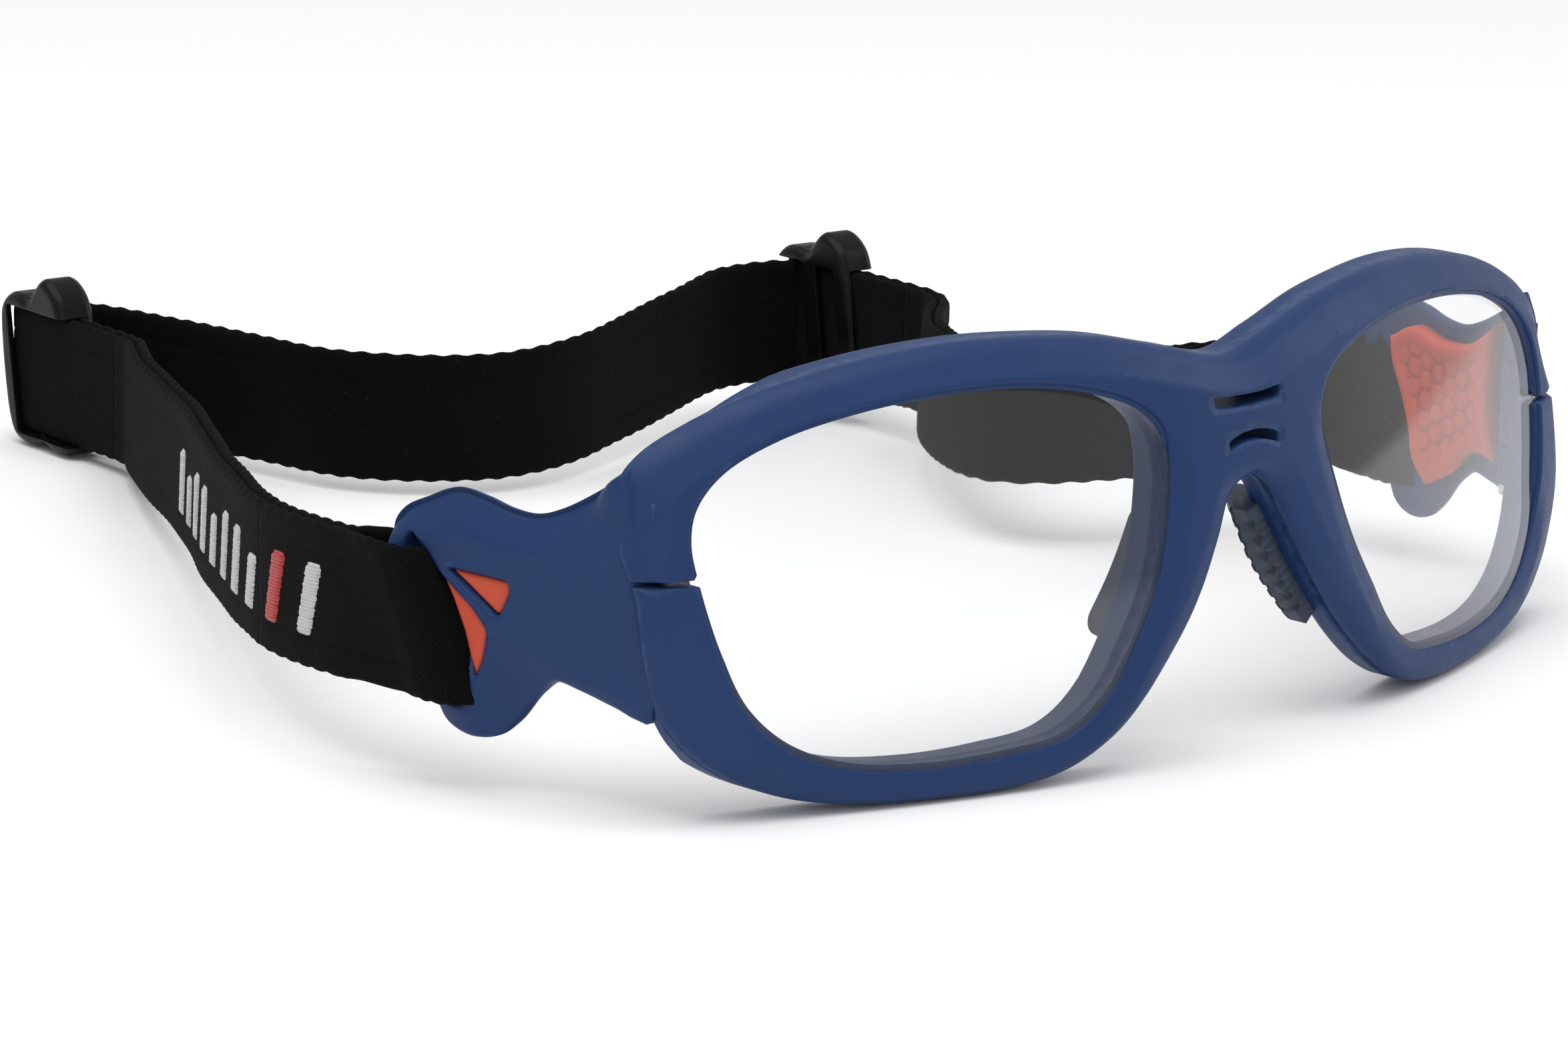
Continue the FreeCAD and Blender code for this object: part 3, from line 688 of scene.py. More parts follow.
def vent_loop(half, low, height, sag):
    """A slot with round ends, sagging towards its ends; step fine enough for its ends."""
    top = [(x, low + height - sag * (x / half) ** 2) for x in np.linspace(half, -half, 13)]
    bottom = [(x, low - sag * (x / half) ** 2) for x in np.linspace(-half, half, 13)]
    return round_loop(np.array(top + bottom), height * 0.5, step=0.25)


def build_front():
    right_half = [(-x, z) for x, z in reversed(OUTLINE[1:-1])]
    outer = spline(OUTLINE + right_half, closed=True, step=0.55)
    openings = []
    for side in SIDES.values():
        loop = spline([(side * x, z) for x, z in OPENING], closed=True, step=0.55)
        openings.append(offset_loop(loop, LIP_WIDTH))
    vents = [vent_loop(4.9, 32.3, 1.15, -0.35), vent_loop(3.7, 29.1, 1.05, 0.75)]
    slits = []
    for side in SIDES.values():
        x0, x1 = sorted((side * 59.5, side * 67.0))
        z0, z1 = SLIT_Z - SLIT_HALF, SLIT_Z + SLIT_HALF
        slits.append(np.array([(x0, z0), (x1, z0), (x1, z1), (x0, z1)]))

    def keep(points):
        result = inside(points, outer)
        for loop in openings + vents + slits:
            result &= ~inside(points, loop)
        return result

    guides = []
    for inward in (0.1, 0.3, 0.6, 1.0, 1.5, 2.6, 3.0, 3.4, 3.8):
        guides.append(offset_loop(outer, -inward))
    for outward in (0.12, 0.3, 0.55, 1.4, 2.1, 2.4):
        guides += [offset_loop(loop, outward) for loop in openings]
    guides = [g[keep(g)] for g in guides]
    clear_outer = [g[(distance(g, outer)[0] > 0.07)] for g in guides]
    guides = [g[np.minimum(*(distance(g, loop)[0] for loop in openings)) > 0.09] for g in clear_outer]
    flat, triangles, boundary = flat_mesh(keep, [outer, *openings, *vents, *slits], guides, spacing=0.75)
    front = front_heights(flat, outer, openings)
    back = rear_heights(flat, outer, openings)
    back = np.maximum(back, front + 0.4)

    def wall(points, y_front, y_back):
        inward = np.zeros_like(points)
        near = np.zeros(len(points), bool)
        for loop in openings:
            moved = offset_loop(loop, -1.0) - loop
            gaps = np.linalg.norm(points[:, None] - loop[None], axis=2)
            chosen = distance(points, loop)[0] < 0.02
            inward[chosen] = moved[gaps.argmin(1)][chosen]
            near |= chosen
        base = front_y(points[:, 0], points[:, 1])
        at_slit = (np.abs(points[:, 0]) > 59.0) & (np.abs(points[:, 1] - SLIT_Z) < 0.26)
        reach = np.where(near & ~at_slit, LIP_WIDTH, 0.0)[:, None]
        rows = []
        for share, lip_depth in ((0.0, 0.42), (0.9, 0.5), (1.0, 0.56), (1.0, 0.76)):
            away_from_lip = y_front + (y_back - y_front) * 0.12
            depth = np.where(near, np.maximum(base + lip_depth, y_front + 0.02), away_from_lip)
            rows.append((points + inward * reach * share, depth))
        groove = np.minimum(base + LENS_INSET + LENS_T + 0.1, y_back - 0.05)
        behind = np.where(near, groove, (y_front + y_back) / 2)
        rows.append((points + inward * reach, behind))
        rows.append((points + inward * reach * 0.9, np.where(near, y_back - 0.3, y_back - 0.1)))
        return rows

    def to_space(points, heights):
        return np.column_stack([points[:, 0], heights, points[:, 1]])

    return shell(flat, triangles, boundary, front, back, to_space, wall)


def build_lug(z0, z1):
    """One lug of the left hinge with its root in the rim."""
    x, y = HINGE
    turn = np.linspace(0, math.pi, 17)
    loop = np.column_stack([x + LUG_R * np.cos(turn), y + LUG_R * np.sin(turn)])
    loop = np.vstack([loop, [(x - LUG_R, 18.2), (x + LUG_R, 18.2)]])
    return pillar(loop, z0, z1, edge=0.22)


def make_front():
    shapes = [build_front()]
    for side in SIDES.values():
        shapes += [mirrored(build_lug(z0, z1), side) for z0, z1 in LUGS_Z]
    obj = make_object("wrap_front", *merge(*shapes), NAVY, "front", "frame_navy")
    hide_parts("front_frame")


def make_lenses():
    for name, side in SIDES.items():
        loop = offset_loop(spline([(side * x, z) for x, z in OPENING], closed=True, step=0.8), 0.75)
        flat, triangles, boundary = flat_mesh(lambda p: inside(p, loop), [loop], spacing=1.2)
        front = front_y(flat[:, 0], flat[:, 1]) + LENS_INSET
        shape = shell(flat, triangles, boundary, front, front + LENS_T,
                      lambda p, h: np.column_stack([p[:, 0], h, p[:, 1]]))
        obj = make_object("lens_" + name + "_clear", *shape, LENS, "front", "lens_clear")
        obj.data.set_sharp_from_angle(angle=math.radians(40))
        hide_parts("lens_" + name)


# ---- side plates ----------------------------------------------------------------------------------
CREASE = np.array([(15.0, 9.8), (34.6, 15.4)])


def plate_heights(points, outer, holes):
    d_out, _ = distance(points, outer)
    y, z = points[:, 0], points[:, 1]
    seam = step_up(y, 19.4, 21.4)
    height = rounding(d_out, 0.75) * (0.25 + 0.75 * seam)
    (y0, z0), (y1, z1) = CREASE
    below = (z0 + (y - y0) * (z1 - z0) / (y1 - y0)) - z
    height += np.clip(below, 0, 6) * 0.26 * (1 - step_up(y, 33.0, 36.5))
    top = step_up(z, 21.0, 25.0) * step_up(y, 21.5, 25.0)
    height += top * np.clip(3.4 - d_out, 0, 3.4) * 0.55
    prong = step_up(y, 33.5, 36.0) * (1 - step_up(z, 9.5, 12.0))
    height += prong * np.clip(2.4 - d_out, 0, 2.4) * 0.35
    d_slot, _ = distance(points, holes[0])
    height += rounding(d_slot, 0.6)
    for window in holes[1:]:
        height += rounding(distance(points, window)[0], 0.18)
    return height


def side_space(points, inset):
    """(y, z) points and depths below the left plate's outer plane, in three dimensions."""
    return np.column_stack([plate_x(points[:, 0]) - inset, points[:, 0], points[:, 1]])


def plate_loops():
    seam = [(y + GAP, z) for y, z in SEAM]
    low = [(SEAM[-1][0] + GAP, SEAM[-1][1])] + LOWER_EDGE[1:]
    high = UPPER_EDGE[:-1] + [(SEAM[0][0] + GAP, SEAM[0][1])]
    outer = corner_loop(seam, low, [(41.0, 8.1), (46.0, 21.6)], high, step=0.45)
    slot = spline(SLOT, closed=True, step=0.45)
    windows = [round_loop(w, 0.45, step=0.3) for w in WINDOWS]
    return outer, [slot, *windows]


def make_side_plates():
    outer, holes = plate_loops()

    def keep(points):
        result = inside(points, outer)
        for hole in holes:
            result &= ~inside(points, hole)
        return result

    guides = []
    for inward in (0.1, 0.28, 0.5, 0.75, 1.6, 2.4, 2.6):
        guides.append(offset_loop(outer, -inward))
    guides += [offset_loop(holes[0], outward) for outward in (0.1, 0.3, 0.6)]
    guides += [offset_loop(hole, 0.18) for hole in holes[1:]]
    crease = np.column_stack([np.linspace(18.4, 35.5, 40), np.interp(np.linspace(18.4, 35.5, 40), *CREASE.T)])
    guides.append(crease)
    edges = [outer, *holes]
    kept = []
    for guide in guides:
        guide = guide[keep(guide)]
        for edge in edges:
            guide = guide[distance(guide, edge)[0] > 0.07]
        kept.append(guide)
    flat, triangles, boundary = flat_mesh(keep, edges, kept, spacing=0.6)
    height = plate_heights(flat, outer, holes)
    back = PLATE_T - rounding(distance(flat, outer)[0], 0.5)
    height = np.minimum(height, back - 0.5)
    plate = shell(flat, triangles, boundary, height, back, side_space)
    knuckle = lathe(HINGE, [(LUG_R - 0.25, KNUCKLE_Z[0]), (LUG_R, KNUCKLE_Z[0] + 0.25),
                            (LUG_R, KNUCKLE_Z[1] - 0.25), (LUG_R - 0.25, KNUCKLE_Z[1])])
    x, y = HINGE
    root = [(x - 0.4, y - 0.7), (plate_x(y) - 1.5, y - 0.7), (plate_x(23.4) - 1.3, 23.4), (x, y + 1.2)]
    arm = pillar(np.array(root), *KNUCKLE_Z, edge=0.2)
    whole = merge(plate, knuckle, arm)
    for name, side in SIDES.items():
        obj = make_object("side_plate_" + name + "_moulded", *mirrored(whole, side),
                          NAVY, "side_" + name, "frame_navy")
        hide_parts("side_plate_" + name)


# ---- side pads: a liner with a honeycomb of grooves, and two bosses in the plate's windows ---------
HEX_SIDE = 1.25
HEX_MIDDLE = np.array([32.0, 19.5])


def honeycomb(points):
    """How far each point is from the nearest edge of a flat-topped honeycomb."""
    column = 1.5 * HEX_SIDE
    row = math.sqrt(3) * HEX_SIDE
    rel = points - HEX_MIDDLE
    best = np.full(len(points), 1e9)
    second = np.full(len(points), 1e9)
    first_col = np.round(rel[:, 0] / column)
    for dc in (-1, 0, 1):
        col = first_col + dc
        shift = np.where(col % 2 == 0, 0.0, row / 2)
        for dr in (-1, 0, 1):
            r = np.round((rel[:, 1] - shift) / row) + dr
            d = np.hypot(rel[:, 0] - col * column, rel[:, 1] - shift - r * row)
            second = np.where(d < best, best, np.minimum(second, d))
            best = np.minimum(best, d)
    return (second - best) / 2


def make_side_pads():
    outer = corner_loop(*PAD_EDGES, step=0.4)
    outer = offset_loop(outer, -0.1)
    guides = [offset_loop(outer, -d) for d in (0.12, 0.3, 0.55, 0.85)]
    guides = [g[inside(g, outer)] for g in guides]
    guides = [g[distance(g, outer)[0] > 0.07] for g in guides]
    flat, triangles, boundary = flat_mesh(lambda p: inside(p, outer), [outer], guides, spacing=0.27)
    d_out, _ = distance(flat, outer)
    groove = 1 - step_up(honeycomb(flat), 0.10, 0.26)
    border = step_up(d_out, 1.5, 2.2)
    front_band = step_up(flat[:, 0], 25.2, 26.8)
    inner = PLATE_T + PAD_T - rounding(d_out, 0.85)
    inner -= groove * border * front_band * 0.34
    inner -= step_up(d_out, 1.2, 1.7) * front_band * 0.16
    outer_face = np.full(len(flat), PLATE_T + 0.02)
    liner = shell(flat, triangles, boundary, outer_face, inner, side_space)
    shapes = [liner]
    for window in WINDOWS:
        loop = offset_loop(round_loop(window, 0.45, step=0.25), -0.14)
        guides = [offset_loop(loop, -d) for d in (0.1, 0.25, 0.45)]
        guides = [g[inside(g, loop)] for g in guides]
        guides = [g[distance(g, loop)[0] > 0.06] for g in guides]
        f, t, b = flat_mesh(lambda p, loop=loop: inside(p, loop), [loop], guides, spacing=0.35)
        crown = 0.42 + rounding(distance(f, loop)[0], 0.4)
        shapes.append(shell(f, t, b, crown, np.full(len(f), PLATE_T + 0.3), side_space))
    whole = merge(*shapes)
    for name, side in SIDES.items():
        obj = make_object("side_pad_" + name + "_rubber", *mirrored(whole, side),
                          PAD_ORANGE, "side_" + name, "pad_orange")
        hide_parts("side_pad_" + name)


# ---- nose pads ------------------------------------------------------------------------------------
NOSE_LENGTH = 14.0
NOSE_PITCH = 1.75        # of the grooves across a nose pad


def make_nose_pads():
    """Soft strips behind the nasal walls, with slanting grooves across them."""
    inner = spline([(2.9, 21.2), (5.6, 15.4), (11.0, 8.9)], step=0.3)
    outer = spline([(15.0, 11.2), (10.9, 16.6), (7.2, 22.4)], step=0.3)[::-1]
    rows, columns = 76, 26
    a = resample(inner, 0.2)
    b = resample(outer, 0.2)
    along = np.linspace(0, 1, rows)
    first = np.stack([np.interp(along, np.linspace(0, 1, len(a)), a[:, k]) for k in (0, 1)], axis=1)
    last = np.stack([np.interp(along, np.linspace(0, 1, len(b)), b[:, k]) for k in (0, 1)], axis=1)
    vertices = []
    across = np.linspace(0, 1, columns)
    ends = np.minimum(rounding(along * NOSE_LENGTH, 1.6) + rounding((1 - along) * NOSE_LENGTH, 2.4), 2.6)
    profile = [(0.0, 4.7), (0.0, 5.4), (0.0, 6.1), (0.0, 6.8), (0.0, 7.4)]
    for s in across:
        arch = math.sin(math.pi * min(max(s, 0.02), 0.98))
        profile.append((s, 7.9 + 3.6 * s - 1.0 * (1 - arch) ** 2))
    profile += [(1.0, 9.6), (1.0, 7.0), (1.0, 5.0)]
    for i in range(rows):
        for s, depth in profile:
            p = first[i] * (1 - s) + last[i] * s
            slant = along[i] * NOSE_LENGTH - (depth - 6.0) * 0.55 - s * 1.5
            groove = 0.5 + 0.5 * math.cos(2 * math.pi * slant / NOSE_PITCH)
            cut = 0.24 * step_up(groove, 0.45, 0.95) * step_up(min(along[i], 1 - along[i]), 0.06, 0.12)
            side_cut = cut if (s < 0.35 and depth > 5.4) else cut * max(0.0, 1 - (s - 0.35) * 4)
            y = depth - ends[i] * max(0.0, depth - 6) / 5.0
            p = p + np.array([side_cut * 0.8, side_cut * 0.35])
            vertices.append((p[0], front_y(p[0], p[1]) + y - side_cut * 0.3, p[1]))
    shape = (np.array(vertices), ring_faces(rows, len(profile)))
    for name, side in SIDES.items():
        obj = make_object("nose_pad_" + name + "_grooved", *mirrored(shape, side),
                          NOSE_DARK, "front", "nose_rubber")
        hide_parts("nose_pad_" + name)


# ---- webbing --------------------------------------------------------------------------------------
def low_edge(name, y):
    """Height of a side strap's lower edge."""
    last = REAR_Z + LIFT[name]
    return np.interp(y, (SIDE_START[0], SIDE_END_Y[name]), (SIDE_START[1], last))


def webbing_section(width):
    """A closed cross-section of webbing with corded edges and hems.
    Its points are (across -0.5 to 0.5, height 0 to width)."""
    hem = 2.9
    heights = np.array([0.0, 0.12, 0.4, 0.8, 1.3, hem - 0.35, hem, hem + 0.35])
    heights = np.concatenate([heights, np.linspace(4.4, width - 4.4, 6), (width - heights)[::-1]])
    thick = np.full(len(heights), 1.0)
    for i, h in enumerate(heights):
        d = min(h, width - h)
        if d < 0.8:
            thick[i] = math.sqrt(max(0.0, 1 - ((0.8 - d) / 0.8) ** 2)) * 0.94 + 0.06
        elif abs(d - hem) < 0.1:
            thick[i] = 0.84
    near = [(t / 2, h) for t, h in zip(thick, heights)]
    far = [(-t / 2, h) for t, h in zip(thick, heights)][::-1]
    return np.array(near + far)


def strip(path, low, thickness, width=WEB_W, lean=None, start_length=0.0, wave=0.0):
    """Webbing on edge along a plan path (x, y), with its lower edge at low. Returns vertices, faces and UVs.
    lean is (x, y) per mm of height for each point; wave is a soft sideways ripple of that many mm."""
    path = np.asarray(path, float)
    count = len(path)
    forward = np.gradient(path, axis=0)
    forward /= np.linalg.norm(forward, axis=1)[:, None]
    normal = np.stack([-forward[:, 1], forward[:, 0]], axis=1)
    lengths = start_length + np.concatenate([[0], np.cumsum(np.linalg.norm(np.diff(path, axis=0), axis=1))])
    section = webbing_section(width)
    k = len(section)
    low = np.broadcast_to(low, count)
    lean = np.zeros((count, 2)) if lean is None else lean
    vertices, uvs = [], []
    half_girth = np.concatenate([[0], np.cumsum(np.linalg.norm(np.diff(section, axis=0), axis=1))])
    for i in range(count):
        scallop = 0.10 * math.sin(2 * math.pi * lengths[i] / 0.62)
        edge = np.minimum(section[:, 1], width - section[:, 1])
        fade = np.clip(1 - edge / 0.9, 0, 1)
        grow = np.where(section[:, 1] > width / 2, 1, -1) * fade * scallop
        from_end = min(lengths[i] - lengths[0], lengths[-1] - lengths[i])
        ripple = wave * min(1.0, from_end / 6) * math.sin(lengths[i] / 5.3) * math.cos(lengths[i] / 8.9)
        height = section[:, 1] + grow
        bow = ripple * (height / width - 0.5)
        across = section[:, 0] * thickness + bow
        spot = path[i][None] + normal[i][None] * across[:, None] + lean[i][None] * height[:, None]
        vertices.append(np.column_stack([spot, low[i] + height]))
        uvs.append(np.column_stack([np.full(k, lengths[i]), half_girth]))
    return np.vstack(vertices), ring_faces(count, k), np.vstack(uvs)


def merge_strips(*strips):
    vertices, faces = merge(*[(v, f) for v, f, _ in strips])
    return vertices, faces, np.vstack([uv for _, _, uv in strips])


def offset_path(path, by):
    forward = np.gradient(path, axis=0)
    forward /= np.linalg.norm(forward, axis=1)[:, None]
    return path + np.stack([-forward[:, 1], forward[:, 0]], axis=1) * by


END_LENGTH = 16.0         # of the strap's straight end, from the middle of the slider forward
STRAP_REACH = 6.2         # from the middle of the slider to the end of the side strap, inside the rear bar
BAR_LEAN = 0.37           # of the strap bar, backward per mm of height
BAR_MIDDLE = 6.4          # height above the webbing's lower edge at which the leaning fold is on its path
LAYER = 0.66              # middle of each layer of a side strap from the strap's own middle


def side_paths():
    """For each side, the whole side strap's middle line in plan, from the plate to the slider."""
    paths = {}
    for name in SIDES:
        points = [(SIDES[name] * 70.0, 47.6)] + SIDE_FRONT[name] + SIDE_REAR[name][1:]
        end = np.array(SLIDER_AT[name]) + SLIDER_DIR * STRAP_REACH
        paths[name] = spline(points[:-1] + [tuple(end)], step=0.5)
    return paths


def nearest(path, spot):
    return int(((path - np.asarray(spot)) ** 2).sum(1).argmin())


PIVOT = {"right": {"swing": (-70.4, 49.7), "bend": (-56.55, 84.5)},
         "left": {"swing": (70.35, 49.7), "bend": (40.7, 72.65)}}


def fold_path(name, path, stop):
    """The webbing's way from the outer layer forward round the strap bar and back as the inner layer."""
    side = SIDES[name]
    bar_y = 40.1
    bar_x = plate_x(bar_y) - PLATE_T / 2
    outer = offset_path(path, LAYER)
    inner = offset_path(path, -LAYER)
    if abs(outer[0, 0]) < abs(inner[0, 0]):
        outer, inner = inner, outer
    bend = [(bar_x + 2.4, bar_y + 5.0), (bar_x + 2.75, bar_y + 2.0), (bar_x + 2.2, bar_y - 0.5),
            (bar_x + 0.5, bar_y - 1.5), (bar_x - 1.2, bar_y - 0.9), (bar_x - 2.25, bar_y + 1.0),
            (bar_x - 2.0, bar_y + 4.0)]
    bend = [(side * x, y) for x, y in bend]
    first = 9
    bridge = [outer[first + 6], outer[first], *bend, inner[first], inner[first + 6]]
    bridge = spline(bridge, step=0.45)
    begin = nearest(bridge, outer[first]) + 1
    finish = nearest(bridge, inner[first])
    return np.vstack([outer[first:stop + 1][::-1], bridge[begin:finish], inner[first:stop + 1]])


# ---- embroidered motif: slanting bars on the outside of the right side strap ------------------------
MOTIF_FROM = 9.0         # along the strap, from the side plate
MOTIF_PITCH = 7.2
MOTIF_BARS = 10
MOTIF_RED = 1            # which bar is red
BAR_WIDE = 2.7
BAR_SLANT = 0.28         # forward, per mm of height
BAR_Z = (3.2, 10.4)      # above the webbing's lower edge
THREAD_T = 0.3


def motif_bar(path, start, low_z, high_z):
    """One raised bar of thread on the outer face of the right strap, from start mm along the strap."""
    spacing = np.linalg.norm(path[1] - path[0])
    outward = offset_path(path, 1.0) - path
    face = LAYER + WEB_T / 2
    top = [(u, THREAD_T * (1 - (2 * u - 1) ** 6)) for u in np.linspace(0, 1, 11)]
    section = top + [(1.0, -0.35), (0.0, -0.35)]
    heights = np.linspace(low_z, high_z, 33)
    vertices, uvs = [], []
    for h in heights:
        ragged = 0.10 * math.sin(h * 11.0) + 0.07 * math.sin(h * 23.0 + start)
        end = min(h - low_z, high_z - h)
        thin = THREAD_T * min(1.0, end / 0.35) - THREAD_T
        for u, rise in section:
            along = start + u * BAR_WIDE - (h - low_z) * BAR_SLANT + ragged * (1 if u > 0.5 else -1)
            k = along / spacing
            spot = [np.interp(k, np.arange(len(path)), path[:, axis]) for axis in (0, 1)]
            away = [np.interp(k, np.arange(len(path)), outward[:, axis]) for axis in (0, 1)]
            lift = face + (max(rise + thin, -0.1) if rise > -0.3 else rise)
            vertices.append((spot[0] + away[0] * lift, spot[1] + away[1] * lift,
                             float(low_edge("right", spot[1])) + h))
            uvs.append((along, h))
    return np.array(vertices), ring_faces(len(heights), len(section)), np.array(uvs)


def make_motif(path, k_mid):
    """Bars that end ahead of the middle of the strap's front link are grouped as front, and the others as
    rear.
    """
    middle = k_mid * np.linalg.norm(path[1] - path[0])
    groups = {}
    for i in range(MOTIF_BARS):
        start = MOTIF_FROM + i * MOTIF_PITCH
        place_name = "front" if start + BAR_WIDE < middle else "rear"
        colour = "red" if i == MOTIF_RED else "white"
        tall = BAR_Z[1] - (1.6 if i % 3 == 2 else 0.0)
        groups.setdefault(place_name + "_" + colour, []).append(motif_bar(path, start, BAR_Z[0], tall))
    for group, bars in groups.items():
        vertices, faces, uvs = merge_strips(*bars)
        thread = THREAD_RED if group.endswith("red") else THREAD_WHITE
        obj = make_object("strap_motif_" + group, vertices, faces, thread, None, "webbing_black", uvs=uvs)
        if group.startswith("front"):
            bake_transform(obj)
        else:
            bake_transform(obj)


def make_straps():
    paths = side_paths()
    for name, side in SIDES.items():
        path = paths[name]
        k_swing = nearest(path, PIVOT[name]["swing"])
        k_bend = nearest(path, PIVOT[name]["bend"])
        k_mid = (k_swing + k_bend) // 2
        slider = np.array(SLIDER_AT[name])
        k_rear = nearest(path, slider - SLIDER_DIR * END_LENGTH)
        # the fold round the bar, out to the middle of the front link
        fold = fold_path(name, path, k_mid)
        lean_share = 1 - step_up(fold[:, 1], 44.0, 53.0)
        lean = np.column_stack([side * PLATE_SLOPE * BAR_LEAN * lean_share, BAR_LEAN * lean_share])
        low = low_edge(name, np.maximum(fold[:, 1], 40.0))
        start = fold - lean * BAR_MIDDLE
        shape = strip(start, low, WEB_T, lean=lean, wave=0.1)
        obj = make_object("strap_fold_" + name, shape[0], shape[1], WEB, None, "webbing_black", uvs=shape[2])
        a = PIVOT[name]["swing"]
        b = path[min(k_swing + 26, k_mid - 2)]
        swing = {"start": point(path[k_swing - 3][0], a[1] - 1.0, 15), "end": point(b[0], b[1], 15)}
        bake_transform(obj)
        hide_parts("strap_loop_" + name, "side_strap_front_" + name)
        # from there over the bend to the rear
        layers = []
        for by in (LAYER, -LAYER):
            line = offset_path(path, by)[k_mid:k_rear + 1]
            layers.append(strip(line, low_edge(name, line[:, 1]), WEB_T, wave=0.25, start_length=k_mid * 0.5))
        shape = merge_strips(*layers)
        obj = make_object("side_strap_" + name + "_long", shape[0], shape[1], WEB, None,
                          "webbing_black", uvs=shape[2])
        p, q = path[k_bend - 22], path[min(k_bend + 22, k_rear - 2)]
        bend = {"start": point(*p, 12), "end": point(*q, 12)}
        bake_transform(obj)
        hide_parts("side_strap_rear_" + name)
        if name == "right":
            make_motif(path, k_mid)
        # the straight end that runs through the slider
        layers = []
        for by in (LAYER, -LAYER):
            line = offset_path(path, by)[k_rear:]
            layers.append(strip(line, low_edge(name, line[:, 1]), WEB_T, start_length=k_rear * 0.5))
        shape = merge_strips(*layers)
        obj = make_object("side_strap_" + name + "_end", shape[0], shape[1], WEB, "strap_rear_" + name,
                          "webbing_black", uvs=shape[2])
        # the end object gets its own copy of its mesh
        point(*path[k_rear], REAR_Z)
        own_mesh(obj)
    back = spline(BACK, step=0.5)
    low = np.interp(back[:, 0], BACK_RISE, (REAR_Z, REAR_Z + LIFT["left"]))
    shape = strip(back, low, WEB_T, wave=0.35)
    obj = make_object("back_strap_webbing", shape[0], shape[1], WEB_BACK, "strap_back",
                      "webbing_black", uvs=shape[2])
    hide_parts("back_strap")


# ---- sliders --------------------------------------------------------------------------------------
def rounded_bar(x0, x1, n0, n1, z0, z1, edge):
    """A box with all its edges rounded, as (along, across, up)."""
    loop = round_loop(np.array([(x0, n0), (x1, n0), (x1, n1), (x0, n1)]), edge, step=0.3)
    rings = []
    for t in np.linspace(0, math.pi / 2, 5):
        rings.append((-edge * (1 - math.sin(t)), z0 + edge * (1 - math.cos(t))))
    rings += [(g, z1 - (z - z0)) for g, z in reversed(rings)]
    return prism(loop, rings)


def joined(obj, voxel):
    """The object's shells joined into one skin."""
    remesh = obj.modifiers.new("join", "REMESH")
    remesh.mode = "VOXEL"
    remesh.voxel_size = voxel / 1000
    apply_modifiers(obj)


def softened(obj, rounds, factor=0.6):
    """The object's mesh smoothed rounds times."""
    soften = obj.modifiers.new("soften", "SMOOTH")
    soften.iterations = rounds
    soften.factor = factor
    apply_modifiers(obj)


def apply_modifiers(obj):
    bpy.context.view_layer.update()
    made = bpy.data.meshes.new_from_object(obj.evaluated_get(bpy.context.evaluated_depsgraph_get()))
    old = obj.data
    obj.modifiers.clear()
    obj.data = made
    bpy.data.meshes.remove(old)
    made.polygons.foreach_set("use_smooth", [True] * len(made.polygons))


# a slider's outline as (along, up) before it leans: the rear bar, the rear lobe and the taller front lobe
SLIDER_OUTLINE = [(6.95, 2.8), (6.95, 12.9), (6.3, 15.5), (4.4, 17.0), (2.2, 17.2), (0.5, 16.8), (-0.7, 17.9),
                  (-3.3, 19.7), (-5.9, 18.3), (-6.9, 15.6), (-6.95, 2.6), (-5.7, 0.6), (-3.4, 0.05),
                  (-1.0, 0.45), (0.0, 0.7), (1.0, 0.45), (3.4, 0.0), (5.9, 0.6)]
SLIDER_EDGE = 1.0        # rounding of the slider's edges through its thickness


def moulded(vertices):
    """A slider's blank, as (along, across, up), brought to its outline with rounded edges."""
    outline = spline(SLIDER_OUTLINE, closed=True, step=0.25)
    flat = vertices[:, [0, 2]]
    gap, away = distance(flat, outline)
    outside = ~inside(flat, outline)
    flat = np.where(outside[:, None], flat - away * gap[:, None], flat)
    depth = np.where(outside, 0.0, gap)
    half = SLIDER_N - rounding(depth, SLIDER_EDGE)
    return np.column_stack([flat[:, 0], np.clip(vertices[:, 1], -half, half), flat[:, 1]])


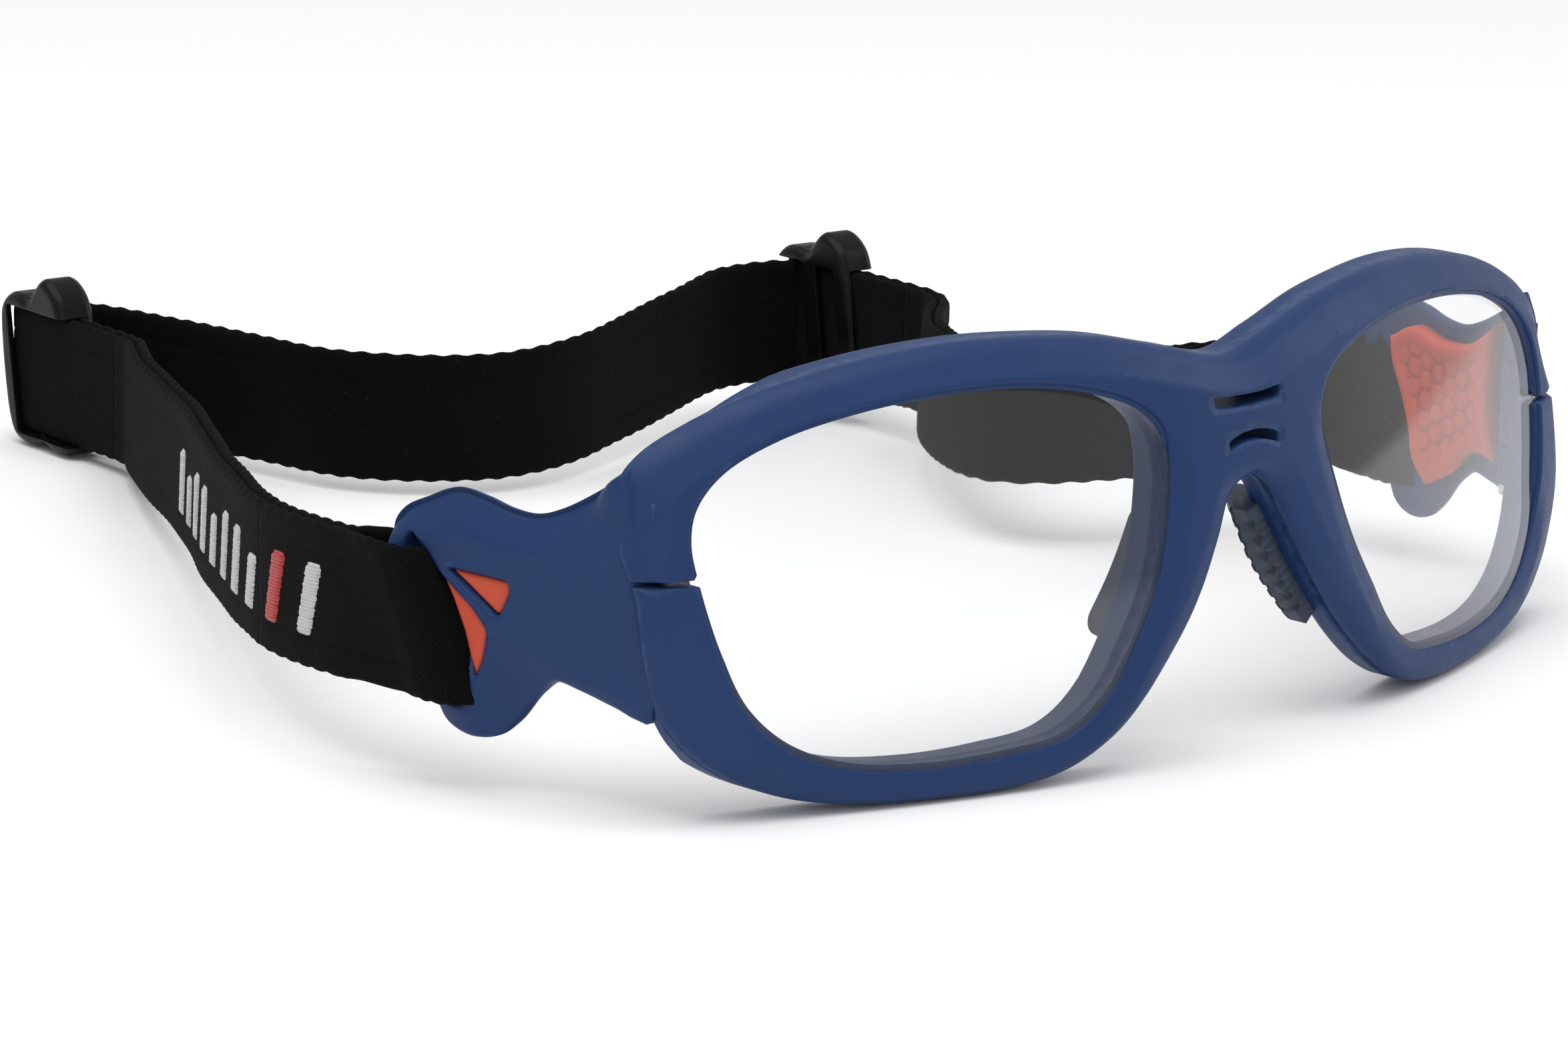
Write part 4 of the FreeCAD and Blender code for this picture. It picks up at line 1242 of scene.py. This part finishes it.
def make_sliders():
    """Three-bar slides: rear bar outside the webbing, middle and front bars on the head side."""
    web = 1.55
    reach = SLIDER_N + 0.3
    ends = SLIDER_END + 0.3
    rail_low, rail_high = 1.2, 15.7
    for name, side in SIDES.items():
        shapes = [rounded_bar(-ends, 0.3, -reach, reach, rail_high, 20.0, 0.2),
                  rounded_bar(-0.3, ends, -reach, reach, rail_high, 17.6, 0.2),
                  rounded_bar(-ends, ends, -reach, reach, -0.3, rail_low, 0.2),
                  rounded_bar(OUTER_BAR, ends, -reach, -web, -0.2, 17.5, 0.2),
                  rounded_bar(-MIDDLE_BAR, MIDDLE_BAR, web, reach, 0.0, 17.0, 0.2),
                  rounded_bar(-ends, -OUTER_BAR, web, reach, -0.2, 19.0, 0.2)]
        vertices, faces = merge(*shapes)
        obj = make_object("strap_slider_" + name + "_lobed", vertices, faces, NYLON, None, "slider_black")
        joined(obj, 0.2)
        # the blank is made about x = y = 0, then moulded, leant and moved to its place on the strap
        blank = np.empty(len(obj.data.vertices) * 3)
        obj.data.vertices.foreach_get("co", blank)
        local = moulded((blank.reshape(-1, 3) - ORIGIN) * 1000)
        flip = 1 if side > 0 else -1
        angle = math.atan2(SLIDER_DIR[1], SLIDER_DIR[0])
        along = local[:, 0] + SLIDER_LEAN * (local[:, 2] - LEAN_FROM)
        across = local[:, 1] * flip
        x = SLIDER_AT[name][0] + along * math.cos(angle) - across * math.sin(angle)
        y = SLIDER_AT[name][1] + along * math.sin(angle) + across * math.cos(angle)
        obj.data.vertices.foreach_set("co", place(np.column_stack([x, y, local[:, 2] + LIFT[name]])).ravel())
        if flip < 0:
            obj.data.flip_normals()
        softened(obj, 5)
        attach(obj, "slider_" + name)
        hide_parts("strap_slider_" + name)


# ---- carried-over metal pieces --------------------------------------------------------------------
def dress(node, material):
    mesh_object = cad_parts[node]
    mesh_object.data.materials.clear()
    mesh_object.data.materials.append(material)


make_front()
make_lenses()
make_side_plates()
make_side_pads()
make_nose_pads()
make_straps()
make_sliders()
dress("hinge_screws", STEEL)
dress("hinge_inserts", BRASS)


# ---- floor, light and camera ----------------------------------------------------------------------
def plain(name, colour, rough):
    m = Nodes(name, rough=rough)
    m.shader.inputs["Base Color"].default_value = (*colour, 1)
    m.roughness(m.spread(m.noise(3, 2), 0.3, 0.7, rough * 0.95, rough * 1.05))
    return m.material


def make_stage():
    low_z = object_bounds()[0].z
    size = 3.0
    mesh = bpy.data.meshes.new("floor")
    corners = [(-size, -size), (size, -size), (size, size), (-size, size)]
    mesh.from_pydata([(x, y, low_z - 0.0002) for x, y in corners], [], [(0, 1, 2, 3)])
    floor = bpy.data.objects.new("floor", mesh)
    bpy.context.scene.collection.objects.link(floor)
    mesh.materials.append(plain("pale_floor", (0.93, 0.93, 0.93), 0.9))


def area_light(name, spot, aim, size, power):
    light = bpy.data.lights.new(name, "AREA")
    light.shape = "RECTANGLE"
    light.size, light.size_y = size
    light.energy = power
    obj = bpy.data.objects.new(name, light)
    obj.location = spot
    obj.rotation_mode = "QUATERNION"
    obj.rotation_quaternion = (Vector(aim) - Vector(spot)).to_track_quat("-Z", "Y")
    bpy.context.scene.collection.objects.link(obj)


def make_light():
    world = bpy.data.worlds.new("studio")
    world.use_nodes = True
    world.node_tree.nodes["Background"].inputs["Color"].default_value = (1, 1, 1, 1)
    world.node_tree.nodes["Background"].inputs["Strength"].default_value = 0.62
    bpy.context.scene.world = world
    area_light("overhead_box", (-0.15, -0.05, 0.75), (0, 0, 0), (0.9, 0.7), 4.6)
    area_light("front_box", (-0.55, -0.75, 0.45), (0, -0.05, 0.02), (0.5, 0.5), 0.7)
    area_light("side_box", (0.65, -0.35, 0.35), (0, -0.05, 0.02), (0.35, 0.5), 0.9)
    bpy.context.scene.view_settings.view_transform = "Standard"


CAMERA_AT = (-447.316, -378.706, 159.93)
CAMERA_RIGHT = (0.70713509, -0.70680279, 0.01974279)
CAMERA_UP = (0.15071874, 0.17795198, 0.97242838)
CAMERA_BACK = (-0.69082836, -0.68466262, 0.23236451)


def make_camera():
    data = bpy.data.cameras.new("camera")
    data.sensor_width = 36.0
    data.lens = 145.05
    data.clip_start, data.clip_end = 0.05, 20.0
    camera = bpy.data.objects.new("camera", data)
    bpy.context.scene.collection.objects.link(camera)
    turn = Matrix((CAMERA_RIGHT, CAMERA_UP, CAMERA_BACK)).transposed().to_4x4()
    camera.matrix_world = Matrix.Translation(point(*CAMERA_AT)) @ turn
    bpy.context.scene.camera = camera


make_stage()
make_light()
make_camera()
